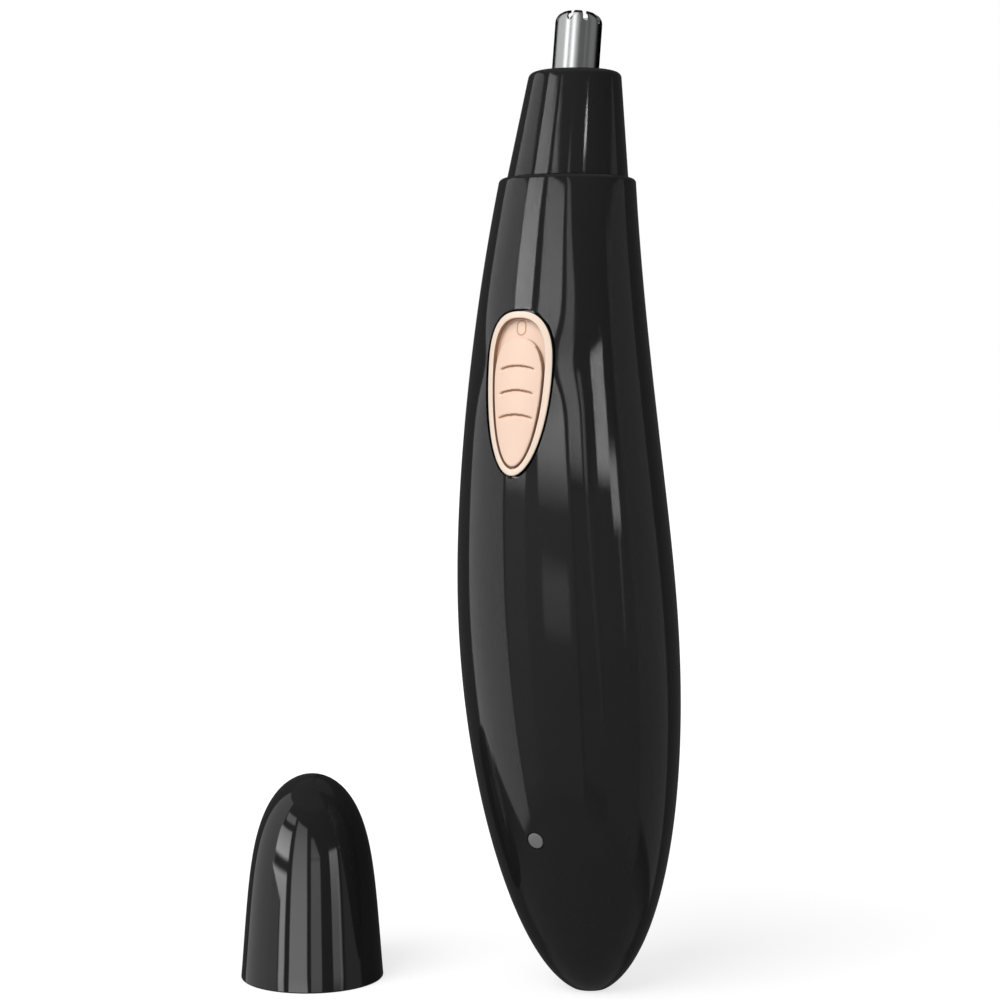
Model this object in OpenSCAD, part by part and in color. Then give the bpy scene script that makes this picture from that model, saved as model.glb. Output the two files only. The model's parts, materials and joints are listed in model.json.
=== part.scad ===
// Rechargeable nose hair trimmer, standing upright with its cap off beside it.
// Millimetres, +Z up, the switch faces -Y, the body is symmetric about the YZ plane.
// The origin is on the body's spine at the widest point of the grip.

/* [Body] */
// Largest body diameter, at the grip
grip_d = 31.5; // [30:0.5:36]
// Body diameter at the rim that carries the head
rim_d = 19.3; // [19:0.1:21]
// Height of the tail below the grip
tail_h = 52; // [50:1:56]
// Height from the grip to the rim
upper_h = 66; // [65:1:72]
// Roundness of the taper above the grip, small is sharp
taper_round = 0.36; // [0.3:0.02:0.5]
// Forward pull of the spine's lower handle
tail_bow = 4.1; // [3.5:0.1:4.6]
// Forward pull of the spine's upper handle
waist_bow = 13.1; // [12.5:0.1:13.6]
// Forward offset of the rim from the tail tip
rim_bow = 7.3; // [6.8:0.1:7.8]
// Wall of the two body shells
wall = 1.6; // [1.4:0.1:1.8]
// Thickness of the shells at the tail tip
tip_wall = 1.8; // [1.6:0.1:2.2]
// Radius on the edge of the rim
rim_round = 0.6; // [0.3:0.1:0.8]

/* [Head] */
// Backward lean of the head
head_tilt = 8.4; // [7:0.2:9]
// Collar diameter on the rim
collar_base_d = 17.2; // [16.8:0.1:17.6]
// Collar diameter at the top
collar_top_d = 13.3; // [12.8:0.1:14]
// Collar height
collar_h = 15.2; // [14.6:0.2:17]
// Radius on the collar's top edge
collar_round = 0.9; // [0.5:0.1:1.1]
// Thickness of the collar's top around the tube
collar_top_t = 3.6; // [3:0.2:4.2]
// Inside diameter of the collar
collar_bore_d = 9.6; // [9.2:0.2:10]
// Outside diameter of the collar's plug in the neck
spigot_d = 12.8; // [12.4:0.2:13.2]
// Length of the collar's plug in the neck
spigot_h = 5.4; // [4.6:0.2:5.6]
// Outside diameter of the cutter tube
tube_d = 6.7; // [6.3:0.1:7]
// Wall of the cutter tube
tube_wall = 0.35; // [0.3:0.05:0.4]
// Length of the cutter tube above the collar
tube_reach = 8.5; // [7:0.5:9.5]
// Radius on the tip of the cutter tube
tube_round = 1.4; // [1:0.1:1.6]
// Diameter of the tube's foot flange under the collar's top
tube_foot_d = 8.6; // [8:0.2:9]
// Thickness of the tube's foot flange
tube_foot_t = 0.8; // [0.6:0.1:1]
// Number of hair slots around the tip
slot_count = 9; // [6:1:12]
// Width of a hair slot
slot_w = 0.8; // [0.6:0.1:0.9]
// Depth of a hair slot
slot_depth = 1.7; // [1.4:0.1:2.2]

/* [Cutter drive] */
// Number of blades on the cutter
blade_count = 4; // [2:1:6]
// Thickness of a blade
blade_t = 0.45; // [0.3:0.05:0.6]
// Height of the blades
blade_h = 7; // [6:0.5:7.5]
// Diameter of the plastic blade stem
stem_d = 3; // [2.6:0.2:3.4]
// Diameter of the stem's lower socket
stem_socket_d = 5.4; // [5.2:0.2:6]
// Height of the stem's lower socket
stem_socket_h = 4.6; // [4.2:0.2:5]
// Height of the bush that guides the stem
bush_h = 3; // [2:0.5:3.5]
// Across flats of the coupler's square tip
coupler_square = 2.6; // [2.2:0.1:2.8]
// Length of the coupler's square tip
coupler_tip_h = 5; // [4.4:0.2:5.4]
// Diameter of the coupler's hub
coupler_d = 5; // [4.8:0.2:5.4]
// Height of the coupler's hub
coupler_h = 2.8; // [2.4:0.2:3]
// Wire diameter of the blade spring
spring_wire = 0.35; // [0.25:0.05:0.4]
// Turns of the blade spring
spring_turns = 3; // [2:1:4]
// Motor can diameter
motor_d = 12; // [11:0.5:12.5]
// Motor can across its flats
motor_flat = 10; // [9:0.5:10.5]
// Motor can length
motor_h = 12.4; // [11:0.4:13]
// Length of the motor's plastic end cap
motor_cap_h = 2.6; // [2:0.2:3]
// Motor shaft diameter
shaft_d = 1.5; // [1:0.1:2]

/* [Switch] */
// Drop of the bezel's widest point below the rim
switch_drop = 26.4; // [25.5:0.1:27.5]
// Width of the bezel
bezel_w = 10; // [9.6:0.1:10.6]
// Length of the bezel above its widest point
bezel_up = 7.4; // [7:0.2:8]
// Length of the bezel below its widest point
bezel_down = 15.2; // [14.8:0.2:16]
// Bluntness of the bezel's upper end
bezel_top_pow = 2.5; // [2:0.1:3]
// Bluntness of the bezel's lower end
bezel_bottom_pow = 1.8; // [1.7:0.1:2.2]
// Width of the bezel's rim
bezel_rim = 0.95; // [0.8:0.05:1.1]
// Height of the bezel above the body
bezel_proud = 0; // [0:0.05:0.3]
// Depth of the well below the bezel's rim
well_depth = 0.95; // [0.8:0.05:1]
// Travel of the slider
slider_travel = 2.4; // [1.8:0.1:2.6]
// Number of finger grooves on the slider
groove_count = 3; // [2:1:3]
// Distance from groove to groove
groove_pitch = 3.35; // [3:0.05:3.6]
// Width of a groove
groove_w = 0.6; // [0.4:0.05:0.8]
// Depth of a groove
groove_depth = 0.3; // [0.2:0.05:0.4]

/* [Power] */
// Battery cell diameter
cell_d = 14.2; // [13.5:0.1:14.5]
// Battery cell length without its button
cell_h = 48; // [44:1:50]
// Height of the indicator lens above the origin
led_z = -26.9; // [-28:0.1:-25.5]
// Diameter of the indicator lens
lens_d = 2.3; // [1.8:0.1:3]
// Diameter of the charging plug
plug_d = 3.5; // [3:0.1:3.5]
// Diameter of the charging contact pin
pin_d = 1.3; // [1:0.1:1.4]

/* [Cap] */
// Cap diameter at its mouth
cap_d = 21.2; // [20.6:0.1:22]
// Inward lean of the cap's wall above its mouth
cap_lean = 4.4; // [3:0.1:5.5]
// Bluntness of the cap's dome
cap_blunt = 5.1; // [4:0.1:6]
// Overall cap height
cap_h = 30.4; // [30:0.2:33]
// Cap wall
cap_wall = 1.1; // [0.9:0.05:1.3]
// Height of the thicker seat inside the mouth
cap_seat_h = 3; // [2:0.5:4]
// Number of grip ribs inside the mouth
cap_rib_count = 6; // [3:1:8]
// Position of the standing cap left of the trimmer
cap_x = -39; // [-44:0.5:-34]
// Position of the standing cap along Y
cap_y = -8.5; // [-12:0.5:6]

/* [Hidden] */
$fn = 64;

// Clearances
seat_gap = 0.15;
running_gap = 0.05;
moving_gap = 0.3;

// Facets of the lofted shells
half_segments = 24;
tail_stations = 14;
upper_stations = 18;
round_stations = 4;

// Body
grip_r = grip_d / 2;
rim_r = rim_d / 2;
taper = (1 - rim_r / grip_r) / (sqrt(1 + taper_round * taper_round) - taper_round);
plug_hole_r = plug_d / 2 + 0.5;
tip_flat_r = plug_hole_r + 0.25;
tip_z = -tail_h * sqrt(1 - pow(tip_flat_r / grip_r, 2));
cavity_tail_h = tail_h - tip_wall;
cavity_floor_z = -cavity_tail_h * sqrt(1 - pow(plug_hole_r / (grip_r - wall), 2));
grip_w = tail_h / (tail_h + upper_h);

function bow(w) = 3 * pow(1 - w, 2) * w * tail_bow + 3 * (1 - w) * w * w * waist_bow + pow(w, 3) * rim_bow;
function spine_y(z) = bow(grip_w) - bow((z + tail_h) / (tail_h + upper_h));
function taper_at(u) = 1 - taper * (sqrt(u * u + taper_round * taper_round) - taper_round);
function tail_at(z, h) = sqrt(max(0, 1 - pow(z / h, 2)));
function body_r(z) = grip_r * (z < 0 ? tail_at(z, tail_h) : taper_at(z / upper_h));
function cavity_r(z) = z < 0 ? max(plug_hole_r, (grip_r - wall) * tail_at(z, cavity_tail_h)) : body_r(z) - wall;
function front_y(z) = spine_y(z) - body_r(z);

// Head: a straight axis from the centre of the rim
rim_y = spine_y(upper_h);
spigot_r = spigot_d / 2;
tube_r = tube_d / 2;
collar_bore_r = collar_bore_d / 2;
tube_seat = collar_h / cos(head_tilt) - collar_top_t;
tube_top = collar_h / cos(head_tilt) + tube_reach;
slot_phase = -5;

// Drive train, heights along the head axis
neck_floor_t = 1.6;
neck_floor = -spigot_h - 0.8 - neck_floor_t;
motor_front = neck_floor;
coupler_base = neck_floor + neck_floor_t - 0.4;
coupler_top = coupler_base + coupler_h;
spring_h = 2;
socket_base = coupler_top + spring_h;
socket_top = socket_base + stem_socket_h;
socket_square = coupler_square + 2 * seat_gap;
stem_top = tube_top - blade_h - 0.4;
bush_base = socket_top + 0.8;
shaft_reach = 4.2;
motor_back = motor_front - motor_h;
terminal_h = 2.4;
motor_shell_t = 0.6;
motor_boss_r = 2;
motor_boss_h = 0.9;

// Switch: a frame on the front of the body, its Y inward and its Z along the slide
switch_z = upper_h - switch_drop;
switch_top_z = switch_z + bezel_up;
switch_low_z = switch_z - bezel_down;
switch_tilt = atan((front_y(switch_top_z) - front_y(switch_low_z)) / (switch_top_z - switch_low_z));
switch_r = body_r(switch_z);
bezel_gap = 0.35;
bezel_t = wall - 0.1;
slider_gap = 0.28;
slider_lift = 0.12;
well_r = switch_r + bezel_proud - well_depth;
post_z = -8;
post_w = 1.8;
post_l = 2.4;
post_depth = 4.4;
lever_depth = 2.6;
lever_w = 3.2;
lever_l = 4;
lever_h = 2.2;
stem_l = 1.6;
stem_dip = 1;
switch_depth = lever_depth + lever_h + moving_gap;
switch_h = 3.2;
switch_w = 4;
switch_l = 9;
board_t = 1;
switch_board_w = 9;
switch_board_l = 13;
board_depth = switch_depth + switch_h;
arc_r = 8;
arc_half = 2.8;

// Motor frame
sleeve_t = 1.2;
sleeve_h = 9;
frame_z = upper_h + (motor_front - sleeve_h) * cos(head_tilt) + 0.3;
frame_t = 1.6;
rail_w = 1.2;
rail_t = 2.4;

// Power
button_d = 5;
button_h = 1;
tab_t = 0.3;
tab_w = 4;
ring_t = 1.8;
low_ring_z = -18;
high_ring_z = 11;
cell_floor_t = 1.4;
strut_w = 3;
strut_t = 1.4;
led_h = 1;
led_w = 2;
led_gap = 0.55;
led_slope = atan((front_y(led_z + 0.5) - front_y(led_z - 0.5)));
lens_proud = 0.05;
lens_l = 2.4;
charge_board_y = front_y(led_z) + (lens_l - lens_proud) * cos(led_slope) + led_gap + led_h;
charge_board_w = 7.6;
charge_board_l = 19;
charge_board_drop = 3.1;
charge_board_base = led_z - charge_board_drop;
cell_gap = 0.5;
cell_lift = 4;
cell_y = charge_board_y + board_t + cell_gap + cell_d / 2;
cell_base = charge_board_base + cell_lift;
jack_y = spine_y(tip_z);
jack_flange_r = plug_hole_r + 0.9;
jack_flange_z = -cavity_tail_h * tail_at(jack_flange_r + seat_gap, grip_r - wall) + seat_gap;
jack_h = 8.5;
jack_r = plug_d / 2 + 1;
jack_bore_r = plug_d / 2 + 0.05;
jack_floor_t = 1.2;
lead_r = 0.45;
lead_x = 2.4;
lead_bend = 3;
lead_end = 1;
power_lead_x = 1.5;
lead_depth = board_depth + board_t + lead_r + seat_gap;

// Cap
cap_z = tip_z;
cap_r = cap_d / 2;
cap_seat_r = collar_base_d / 2 + 0.35;
cap_rib_w = 0.8;
cap_rib_reach = 0.2;

black = [0.08, 0.08, 0.085];
rose_gold = [0.93, 0.78, 0.68];
steel = [0.78, 0.79, 0.8];
dark_plastic = [0.2, 0.2, 0.21];
natural_plastic = [0.86, 0.85, 0.8];
board_green = [0.1, 0.36, 0.2];

// Solid through a row of rings that all have the same number of points
module loft(rings, ends = undef) {
    n = len(rings[0]);
    top = n * (len(rings) - 1);
    sides = [for (i = [0 : len(rings) - 2], j = [0 : n - 1], upper = [0, 1])
        let (a = i * n + j, b = i * n + (j + 1) % n)
        upper == 1 ? [a, a + n, b + n] : [a, b + n, b]];
    first = is_undef(ends) ? [[for (j = [0 : n - 1]) j]] : ends;
    last = [for (face = first) [for (j = [len(face) - 1 : -1 : 0]) top + face[j]]];
    polyhedron([for (ring = rings) each ring], concat(sides, first, last));
}

// Point at an angle from the front around the spine
function around(r, angle, y, z) = [r * sin(angle), y - r * cos(angle), z];

// Half ring of the shell wall that starts at an angle from the front
function half_ring(outer, inner, start, z) = concat(
    [for (i = [0 : half_segments]) around(outer, start + 180 * i / half_segments, spine_y(z), z)],
    [for (i = [half_segments : -1 : 0]) around(inner, start + 180 * i / half_segments, spine_y(z), z)]);

// Full level ring around a point of the YZ plane
function full_ring(r, y, z) =
    [for (i = [0 : 2 * half_segments - 1]) around(r, 180 * i / half_segments, y, z)];

module half_shell(start) {
    tail_start = asin(tip_z / tail_h);
    tail_z = [for (i = [0 : tail_stations]) tail_h * sin(tail_start * (1 - i / tail_stations))];
    low_z = [for (z = tail_z) if (z < cavity_floor_z - 0.2) z];
    high_z = [for (z = tail_z) if (z > cavity_floor_z + 0.2) z];
    upper_z = [for (i = [1 : upper_stations]) (upper_h - rim_round) * i / upper_stations];
    edge = [for (i = [1 : round_stations]) 90 * i / round_stations];
    n = 2 * (half_segments + 1);
    strips = [for (i = [0 : half_segments - 1]) [i, i + 1, n - 2 - i, n - 1 - i]];
    loft(concat(
        [for (z = concat(low_z, [cavity_floor_z], high_z, upper_z)) half_ring(body_r(z), cavity_r(z), start, z)],
        [for (a = edge)
            let (z = upper_h - rim_round * (1 - sin(a)))
            half_ring(body_r(z) - rim_round * (1 - cos(a)), cavity_r(z), start, z)]), strips);
}

// Frame of the head: Z runs up the head axis from the centre of the rim
module head_frame() {
    translate([0, rim_y, upper_h]) rotate([-head_tilt, 0, 0]) children();
}

// Frame of the switch on the front of the body
module switch_frame() {
    translate([0, front_y(switch_z), switch_z]) rotate([-switch_tilt, 0, 0]) children();
}

// Frame of the indicator lens: Z points out of the body
module lens_frame() {
    translate([0, front_y(led_z), led_z]) rotate([90 - led_slope, 0, 0]) children();
}

// Egg outline with a blunt top and a pointed bottom, shrunk all round by inset
function egg(inset) = [for (a = [0 : 6 : 354])
    let (c = cos(a), s = sin(a), p = 2 / (s >= 0 ? bezel_top_pow : bezel_bottom_pow))
    [(bezel_w / 2 - inset) * sign(c) * pow(abs(c), p),
     ((s >= 0 ? bezel_up : bezel_down) - inset) * sign(s) * pow(abs(s), p)]];

module egg_prism(inset) {
    prism_in = 4;
    prism_out = 2;
    translate([0, prism_in, 0]) rotate([90, 0, 0]) linear_extrude(prism_in + prism_out) polygon(egg(inset));
}

// Cylinder that follows the body's girth behind the switch
module girth(r) {
    translate([0, switch_r, -2 * bezel_down]) cylinder(h = 4 * bezel_down, r = r);
}

// Point of the switch frame's X, depth and Z
function switch_point(x, depth, z) = [x, front_y(switch_z) + depth * cos(switch_tilt) + z * sin(switch_tilt),
    switch_z + z * cos(switch_tilt) - depth * sin(switch_tilt)];

// Box centred on X and Z that starts at a depth behind the body's surface
module switch_box(w, depth, t, l, z) {
    translate([-w / 2, depth, z - l / 2]) cube([w, t, l]);
}

module front_shell() {
    color(black) difference() {
        half_shell(-90);
        switch_frame() egg_prism(-bezel_gap);
        lens_frame() translate([0, 0, -4]) cylinder(h = 6, d = lens_d + 2 * seat_gap);
    }
}

module rear_shell() {
    color(black) half_shell(90);
}

module switch_bezel() {
    slot_l = post_l + slider_travel + 2 * moving_gap;
    color(rose_gold) switch_frame() difference() {
        intersection() {
            egg_prism(0);
            girth(switch_r + bezel_proud);
        }
        girth(switch_r - bezel_t);
        difference() {
            egg_prism(bezel_rim);
            girth(well_r);
        }
        switch_box(post_w + 2 * moving_gap, 0, 4, slot_l, post_z + slider_travel / 2);
    }
}

module slider_grooves() {
    first_z = -0.2;
    for (i = [0 : groove_count - 1])
        translate([0, 0, first_z - i * groove_pitch - arc_r]) intersection() {
            rotate([90, 0, 0]) difference() {
                cylinder(h = 4, r = arc_r + groove_w / 2, center = true);
                cylinder(h = 5, r = arc_r - groove_w / 2, center = true);
            }
            translate([-arc_half, -3, 0]) cube([2 * arc_half, 6, 2 * arc_r]);
        }
}

module switch_slider() {
    face_r = switch_r + bezel_proud;
    color(rose_gold) switch_frame() union() {
        difference() {
            intersection() {
                egg_prism(bezel_rim + slider_gap);
                translate([0, 0, -slider_travel]) egg_prism(bezel_rim + slider_gap);
                girth(face_r);
            }
            girth(well_r + slider_lift);
            difference() {
                slider_grooves();
                girth(face_r - groove_depth);
            }
        }
        switch_box(post_w, bezel_t - 1, post_depth - bezel_t + 1, post_l, post_z);
    }
}

module switch_lever() {
    color(dark_plastic) switch_frame() difference() {
        union() {
            switch_box(lever_w, lever_depth, lever_h, lever_l, post_z);
            switch_box(stem_l, lever_depth, lever_h + moving_gap + stem_dip, stem_l, post_z);
        }
        switch_box(post_w + running_gap, 0, post_depth + running_gap, post_l + running_gap, post_z);
    }
}

module slide_switch() {
    slot_l = stem_l + slider_travel + 2 * moving_gap;
    pin_pitch = 3;
    color(steel) switch_frame() union() {
        difference() {
            switch_box(switch_w, switch_depth, switch_h, switch_l, post_z + slider_travel / 2);
            switch_box(stem_l + 2 * moving_gap, switch_depth - 1, stem_dip + 1 + moving_gap, slot_l,
                       post_z + slider_travel / 2);
        }
        for (i = [-1 : 1])
            switch_box(0.6, board_depth, board_t + 0.8, 0.6, post_z + slider_travel / 2 + i * pin_pitch);
    }
}

module switch_board() {
    pin_pitch = 3;
    hole = 0.8;
    color(board_green) switch_frame() difference() {
        switch_box(switch_board_w, board_depth, board_t, switch_board_l, post_z + slider_travel / 2);
        for (i = [-1 : 1])
            switch_box(hole, board_depth - 1, board_t + 2, hole, post_z + slider_travel / 2 + i * pin_pitch);
    }
}

module charge_board() {
    color(board_green) translate([-charge_board_w / 2, charge_board_y, charge_board_base])
        cube([charge_board_w, board_t, charge_board_l]);
}

module charge_led() {
    color("white") translate([-led_w / 2, charge_board_y - led_h, led_z - led_w / 2 + 0.9]) cube([led_w, led_h, led_w]);
}

module indicator_lens() {
    color([0.47, 0.47, 0.47]) lens_frame() translate([0, 0, lens_proud - lens_l]) cylinder(h = lens_l, d = lens_d);
}

module charge_jack() {
    color(dark_plastic) translate([0, jack_y, 0]) difference() {
        union() {
            translate([0, 0, tip_z]) cylinder(h = jack_flange_z - tip_z, r = plug_hole_r - seat_gap);
            translate([0, 0, jack_flange_z]) cylinder(h = 1.2, r = jack_flange_r);
            translate([0, 0, jack_flange_z]) cylinder(h = jack_h, r = jack_r);
        }
        translate([0, 0, tip_z - 1]) cylinder(h = jack_flange_z + jack_h - jack_floor_t - tip_z + 1, r = jack_bore_r);
        translate([0, 0, jack_flange_z]) cylinder(h = jack_h + 1, d = pin_d);
    }
}

module jack_pin() {
    pin_l = 6;
    pin_top = jack_flange_z + jack_h + 0.8;
    color("gold") translate([0, jack_y, pin_top - pin_l]) union() {
        cylinder(h = pin_l, d = pin_d);
        sphere(d = pin_d);
    }
}

module battery_cell() {
    color([0.2, 0.42, 0.62]) translate([0, cell_y, cell_base]) union() {
        cylinder(h = cell_h, d = cell_d);
        translate([0, 0, cell_h]) cylinder(h = button_h, d = button_d);
    }
}

module battery_tabs() {
    top_z = cell_base + cell_h + button_h;
    tab_l = cell_d / 2 + tab_w / 2 - 0.6;
    color(steel) for (z = [cell_base - tab_t, top_z])
        translate([-tab_w / 2, cell_y - cell_d / 2 + 0.6, z]) cube([tab_w, tab_l, tab_t]);
}

// Level disc that braces a frame against the inside of the shells
module brace(z, t) {
    r = min(cavity_r(z), cavity_r(z + t)) - abs(spine_y(z + t) - spine_y(z)) - seat_gap;
    translate([0, (spine_y(z) + spine_y(z + t)) / 2, z]) cylinder(h = t, r = r);
}

module battery_frame() {
    floor_z = cell_base - tab_t - cell_floor_t;
    strut_r = cell_d / 2 + seat_gap;
    color(natural_plastic) difference() {
        union() {
            brace(low_ring_z, ring_t);
            brace(high_ring_z, ring_t);
            translate([0, cell_y, floor_z]) cylinder(h = cell_floor_t, d = cell_d);
            for (side = [-1, 1])
                translate([side * (strut_r + strut_t / 2) - strut_t / 2, cell_y - strut_w / 2, floor_z])
                    cube([strut_t, strut_w, high_ring_z - floor_z + ring_t]);
            translate([-strut_r - strut_t, cell_y - strut_w / 2, floor_z])
                cube([2 * (strut_r + strut_t), strut_w, cell_floor_t]);
        }
        translate([0, cell_y, cell_base - tab_t]) cylinder(h = 2 * cell_h, r = strut_r);
        translate([-charge_board_w / 2 - seat_gap, charge_board_y - grip_r, low_ring_z - 1])
            cube([charge_board_w + 2 * seat_gap, board_t + seat_gap + grip_r, ring_t + 2]);
        translate([-charge_board_w / 2, charge_board_y - grip_r, high_ring_z - 1])
            cube([charge_board_w, grip_r, ring_t + 2]);
    }
}

// Motor outline with its two flats, grown all round by a gap
module motor_prism(gap, h) {
    intersection() {
        cylinder(h = h, r = motor_d / 2 + gap);
        translate([-motor_d, -motor_flat / 2 - gap, 0]) cube([2 * motor_d, motor_flat + 2 * gap, h]);
    }
}

module motor_frame() {
    neck_z = upper_h - spigot_h - 4;
    neck_steps = 3;
    neck_top = upper_h - running_gap;
    sleeve_r = motor_d / 2 + seat_gap + sleeve_t;
    rail_x = switch_board_w / 2 + seat_gap;
    rail_low = post_z + slider_travel / 2 - switch_board_l / 2;
    rail_high = frame_z + frame_t - switch_z;
    color(natural_plastic) difference() {
        union() {
            loft([for (i = [0 : neck_steps])
                let (z = neck_z + (neck_top - neck_z) * i / neck_steps)
                full_ring(cavity_r(z) - seat_gap, spine_y(z), z)]);
            head_frame() translate([0, 0, motor_front - sleeve_h]) cylinder(h = sleeve_h, r = sleeve_r);
            brace(frame_z, frame_t);
            switch_frame() for (side = [-1, 1])
                translate([side * (rail_x + rail_w / 2) - rail_w / 2, board_depth - 0.6, rail_low])
                    cube([rail_w, rail_t, rail_high - rail_low]);
        }
        head_frame() {
            translate([0, 0, -spigot_h - 0.8]) cylinder(h = spigot_h + 10, r = spigot_r + running_gap);
            translate([0, 0, neck_floor - 1]) cylinder(h = neck_floor_t + 2, r = coupler_d / 2 + moving_gap);
            translate([0, 0, motor_back - motor_h]) motor_prism(seat_gap, 2 * motor_h);
        }
        switch_frame() translate([-rail_x, -wall, rail_low])
            cube([2 * rail_x, wall + board_depth + board_t, rail_high - rail_low + sleeve_h]);
    }
}

module motor_can() {
    color(steel) head_frame() difference() {
        union() {
            translate([0, 0, motor_back]) motor_prism(0, motor_h);
            translate([0, 0, motor_front]) cylinder(h = motor_boss_h, r = motor_boss_r);
        }
        translate([0, 0, motor_back - 1]) motor_prism(-motor_shell_t, motor_h - motor_shell_t + 1);
        translate([0, 0, motor_back]) cylinder(h = motor_h + 2, r = shaft_d / 2 + running_gap);
    }
}

module motor_end_cap() {
    slot_w2 = 0.6 + 2 * running_gap;
    color(dark_plastic) head_frame() difference() {
        translate([0, 0, motor_back - motor_cap_h]) motor_prism(-0.3, motor_cap_h);
        translate([0, 0, motor_back - 1.2]) cylinder(h = 2, r = shaft_d / 2 + running_gap);
        for (side = [-1, 1])
            translate([side * motor_d / 4 - 1, -slot_w2 / 2, motor_back - motor_cap_h - 1])
                cube([2, slot_w2, motor_cap_h + 2]);
    }
}

module motor_terminals() {
    color("gold") head_frame() for (side = [-1, 1])
        translate([side * motor_d / 4 - 0.9, -0.3, motor_back - motor_cap_h - terminal_h])
            cube([1.8, 0.6, motor_cap_h + terminal_h]);
}

module motor_shaft() {
    rotor_r = motor_flat / 2 - 1.4;
    rotor_gap = 1.6;
    color(steel) head_frame() union() {
        translate([0, 0, motor_back - 1.1]) cylinder(h = motor_front - motor_back + 1.1 + shaft_reach, d = shaft_d);
        translate([0, 0, motor_back + rotor_gap]) cylinder(h = motor_h - 2 * rotor_gap - 0.6, r = rotor_r);
    }
}

module drive_coupler() {
    color(dark_plastic) head_frame() difference() {
        union() {
            translate([0, 0, coupler_base]) cylinder(h = coupler_h, d = coupler_d);
            translate([-coupler_square / 2, -coupler_square / 2, coupler_top])
                cube([coupler_square, coupler_square, coupler_tip_h]);
        }
        translate([0, 0, motor_front]) cylinder(h = shaft_reach, d = shaft_d);
    }
}

// Coil of round wire between the coupler and the stem
module blade_spring() {
    steps = 18;
    sides = 6;
    coil_r = coupler_square * sqrt(0.5) + spring_wire / 2 + 0.1;
    rise = spring_h - spring_wire - 2 * running_gap;
    last = steps * spring_turns;
    color(steel) head_frame() translate([0, 0, coupler_top + spring_wire / 2 + running_gap])
        loft([for (i = [0 : last]) [for (j = [0 : sides - 1])
            let (turn = 360 * i / steps, a = 360 * j / sides, r = coil_r + spring_wire / 2 * cos(a))
            [r * cos(turn), r * sin(turn), rise * i / last - spring_wire / 2 * sin(a)]]]);
}

module blade_stem() {
    tip_d = stem_d - 1.2;
    tip_h = 2;
    color(natural_plastic) head_frame() difference() {
        union() {
            translate([0, 0, socket_base]) cylinder(h = stem_socket_h, d = stem_socket_d);
            translate([0, 0, socket_top]) cylinder(h = stem_top - socket_top, d = stem_d);
            translate([0, 0, stem_top]) cylinder(h = tip_h, d = tip_d);
        }
        translate([-socket_square / 2, -socket_square / 2, socket_base - 1])
            cube([socket_square, socket_square, coupler_tip_h - spring_h + 1 + moving_gap]);
    }
}

module cutter_blade() {
    tip_d = stem_d - 1.2;
    tip_h = 2;
    blade_r = tube_r - tube_wall - moving_gap;
    crown_r = tube_r - tube_round;
    crown_h = tube_top - tube_wall - moving_gap - stem_top;
    shoulder_h = crown_h - (blade_r - crown_r);
    color(steel) head_frame() translate([0, 0, stem_top]) difference() {
        union() {
            cylinder(h = tip_h + 1, d = stem_d - 0.2);
            for (i = [0 : blade_count - 1])
                rotate([90, 0, 360 * i / blade_count]) translate([0, 0, -blade_t / 2]) linear_extrude(blade_t)
                    polygon([[0, 0], [blade_r, 0], [blade_r, shoulder_h], [crown_r, crown_h], [0, crown_h]]);
        }
        translate([0, 0, -1]) cylinder(h = tip_h + 1, d = tip_d);
    }
}

module stem_bush() {
    color(dark_plastic) head_frame() translate([0, 0, bush_base]) difference() {
        cylinder(h = bush_h, r = collar_bore_r);
        translate([0, 0, -1]) cylinder(h = bush_h + 2, r = stem_d / 2 + running_gap);
    }
}

module cutter_tube() {
    tip = [for (a = [0 : 15 : 90])
        [tube_r - tube_round * (1 - cos(a)), tube_top - tube_round * (1 - sin(a))]];
    inside = [for (a = [90 : -15 : 0])
        [tube_r - tube_round + (tube_round - tube_wall) * cos(a),
         tube_top - tube_round + (tube_round - tube_wall) * sin(a)]];
    foot_z = tube_seat - tube_foot_t;
    color(steel) head_frame() difference() {
        rotate_extrude() polygon(concat(
            [[tube_r - tube_wall, foot_z], [tube_foot_d / 2, foot_z], [tube_foot_d / 2, tube_seat], [tube_r, tube_seat]],
            tip, inside));
        for (i = [0 : slot_count - 1]) rotate([0, 0, slot_phase + 360 * i / slot_count]) {
            translate([0.8, -slot_w / 2, tube_top - slot_depth + slot_w / 2]) cube([tube_r, slot_w, slot_depth]);
            translate([0.8, 0, tube_top - slot_depth + slot_w / 2]) rotate([0, 90, 0]) cylinder(h = tube_r, d = slot_w);
        }
    }
}

module head_collar() {
    lean = tan(head_tilt);
    edge = [for (i = [0 : round_stations]) 90 * i / round_stations];
    base_r = collar_base_d / 2;
    top_r = collar_top_d / 2;
    color(black) difference() {
        union() {
            loft(concat([full_ring(base_r, rim_y, upper_h)],
                [for (a = edge)
                    let (h = collar_h - collar_round * (1 - sin(a)))
                    full_ring(top_r - collar_round * (1 - cos(a)), rim_y + lean * h, upper_h + h)]));
            intersection() {
                head_frame() translate([0, 0, -spigot_h]) cylinder(h = spigot_h + 4, r = spigot_r);
                translate([-grip_d, -grip_d, upper_h - 2 * spigot_h]) cube([2 * grip_d, 2 * grip_d, 2 * spigot_h + 1]);
            }
        }
        head_frame() {
            translate([0, 0, -spigot_h - 1]) cylinder(h = tube_seat + spigot_h + 1, r = collar_bore_r);
            translate([0, 0, tube_seat - 1]) cylinder(h = collar_h, r = tube_r);
        }
    }
}

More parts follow.
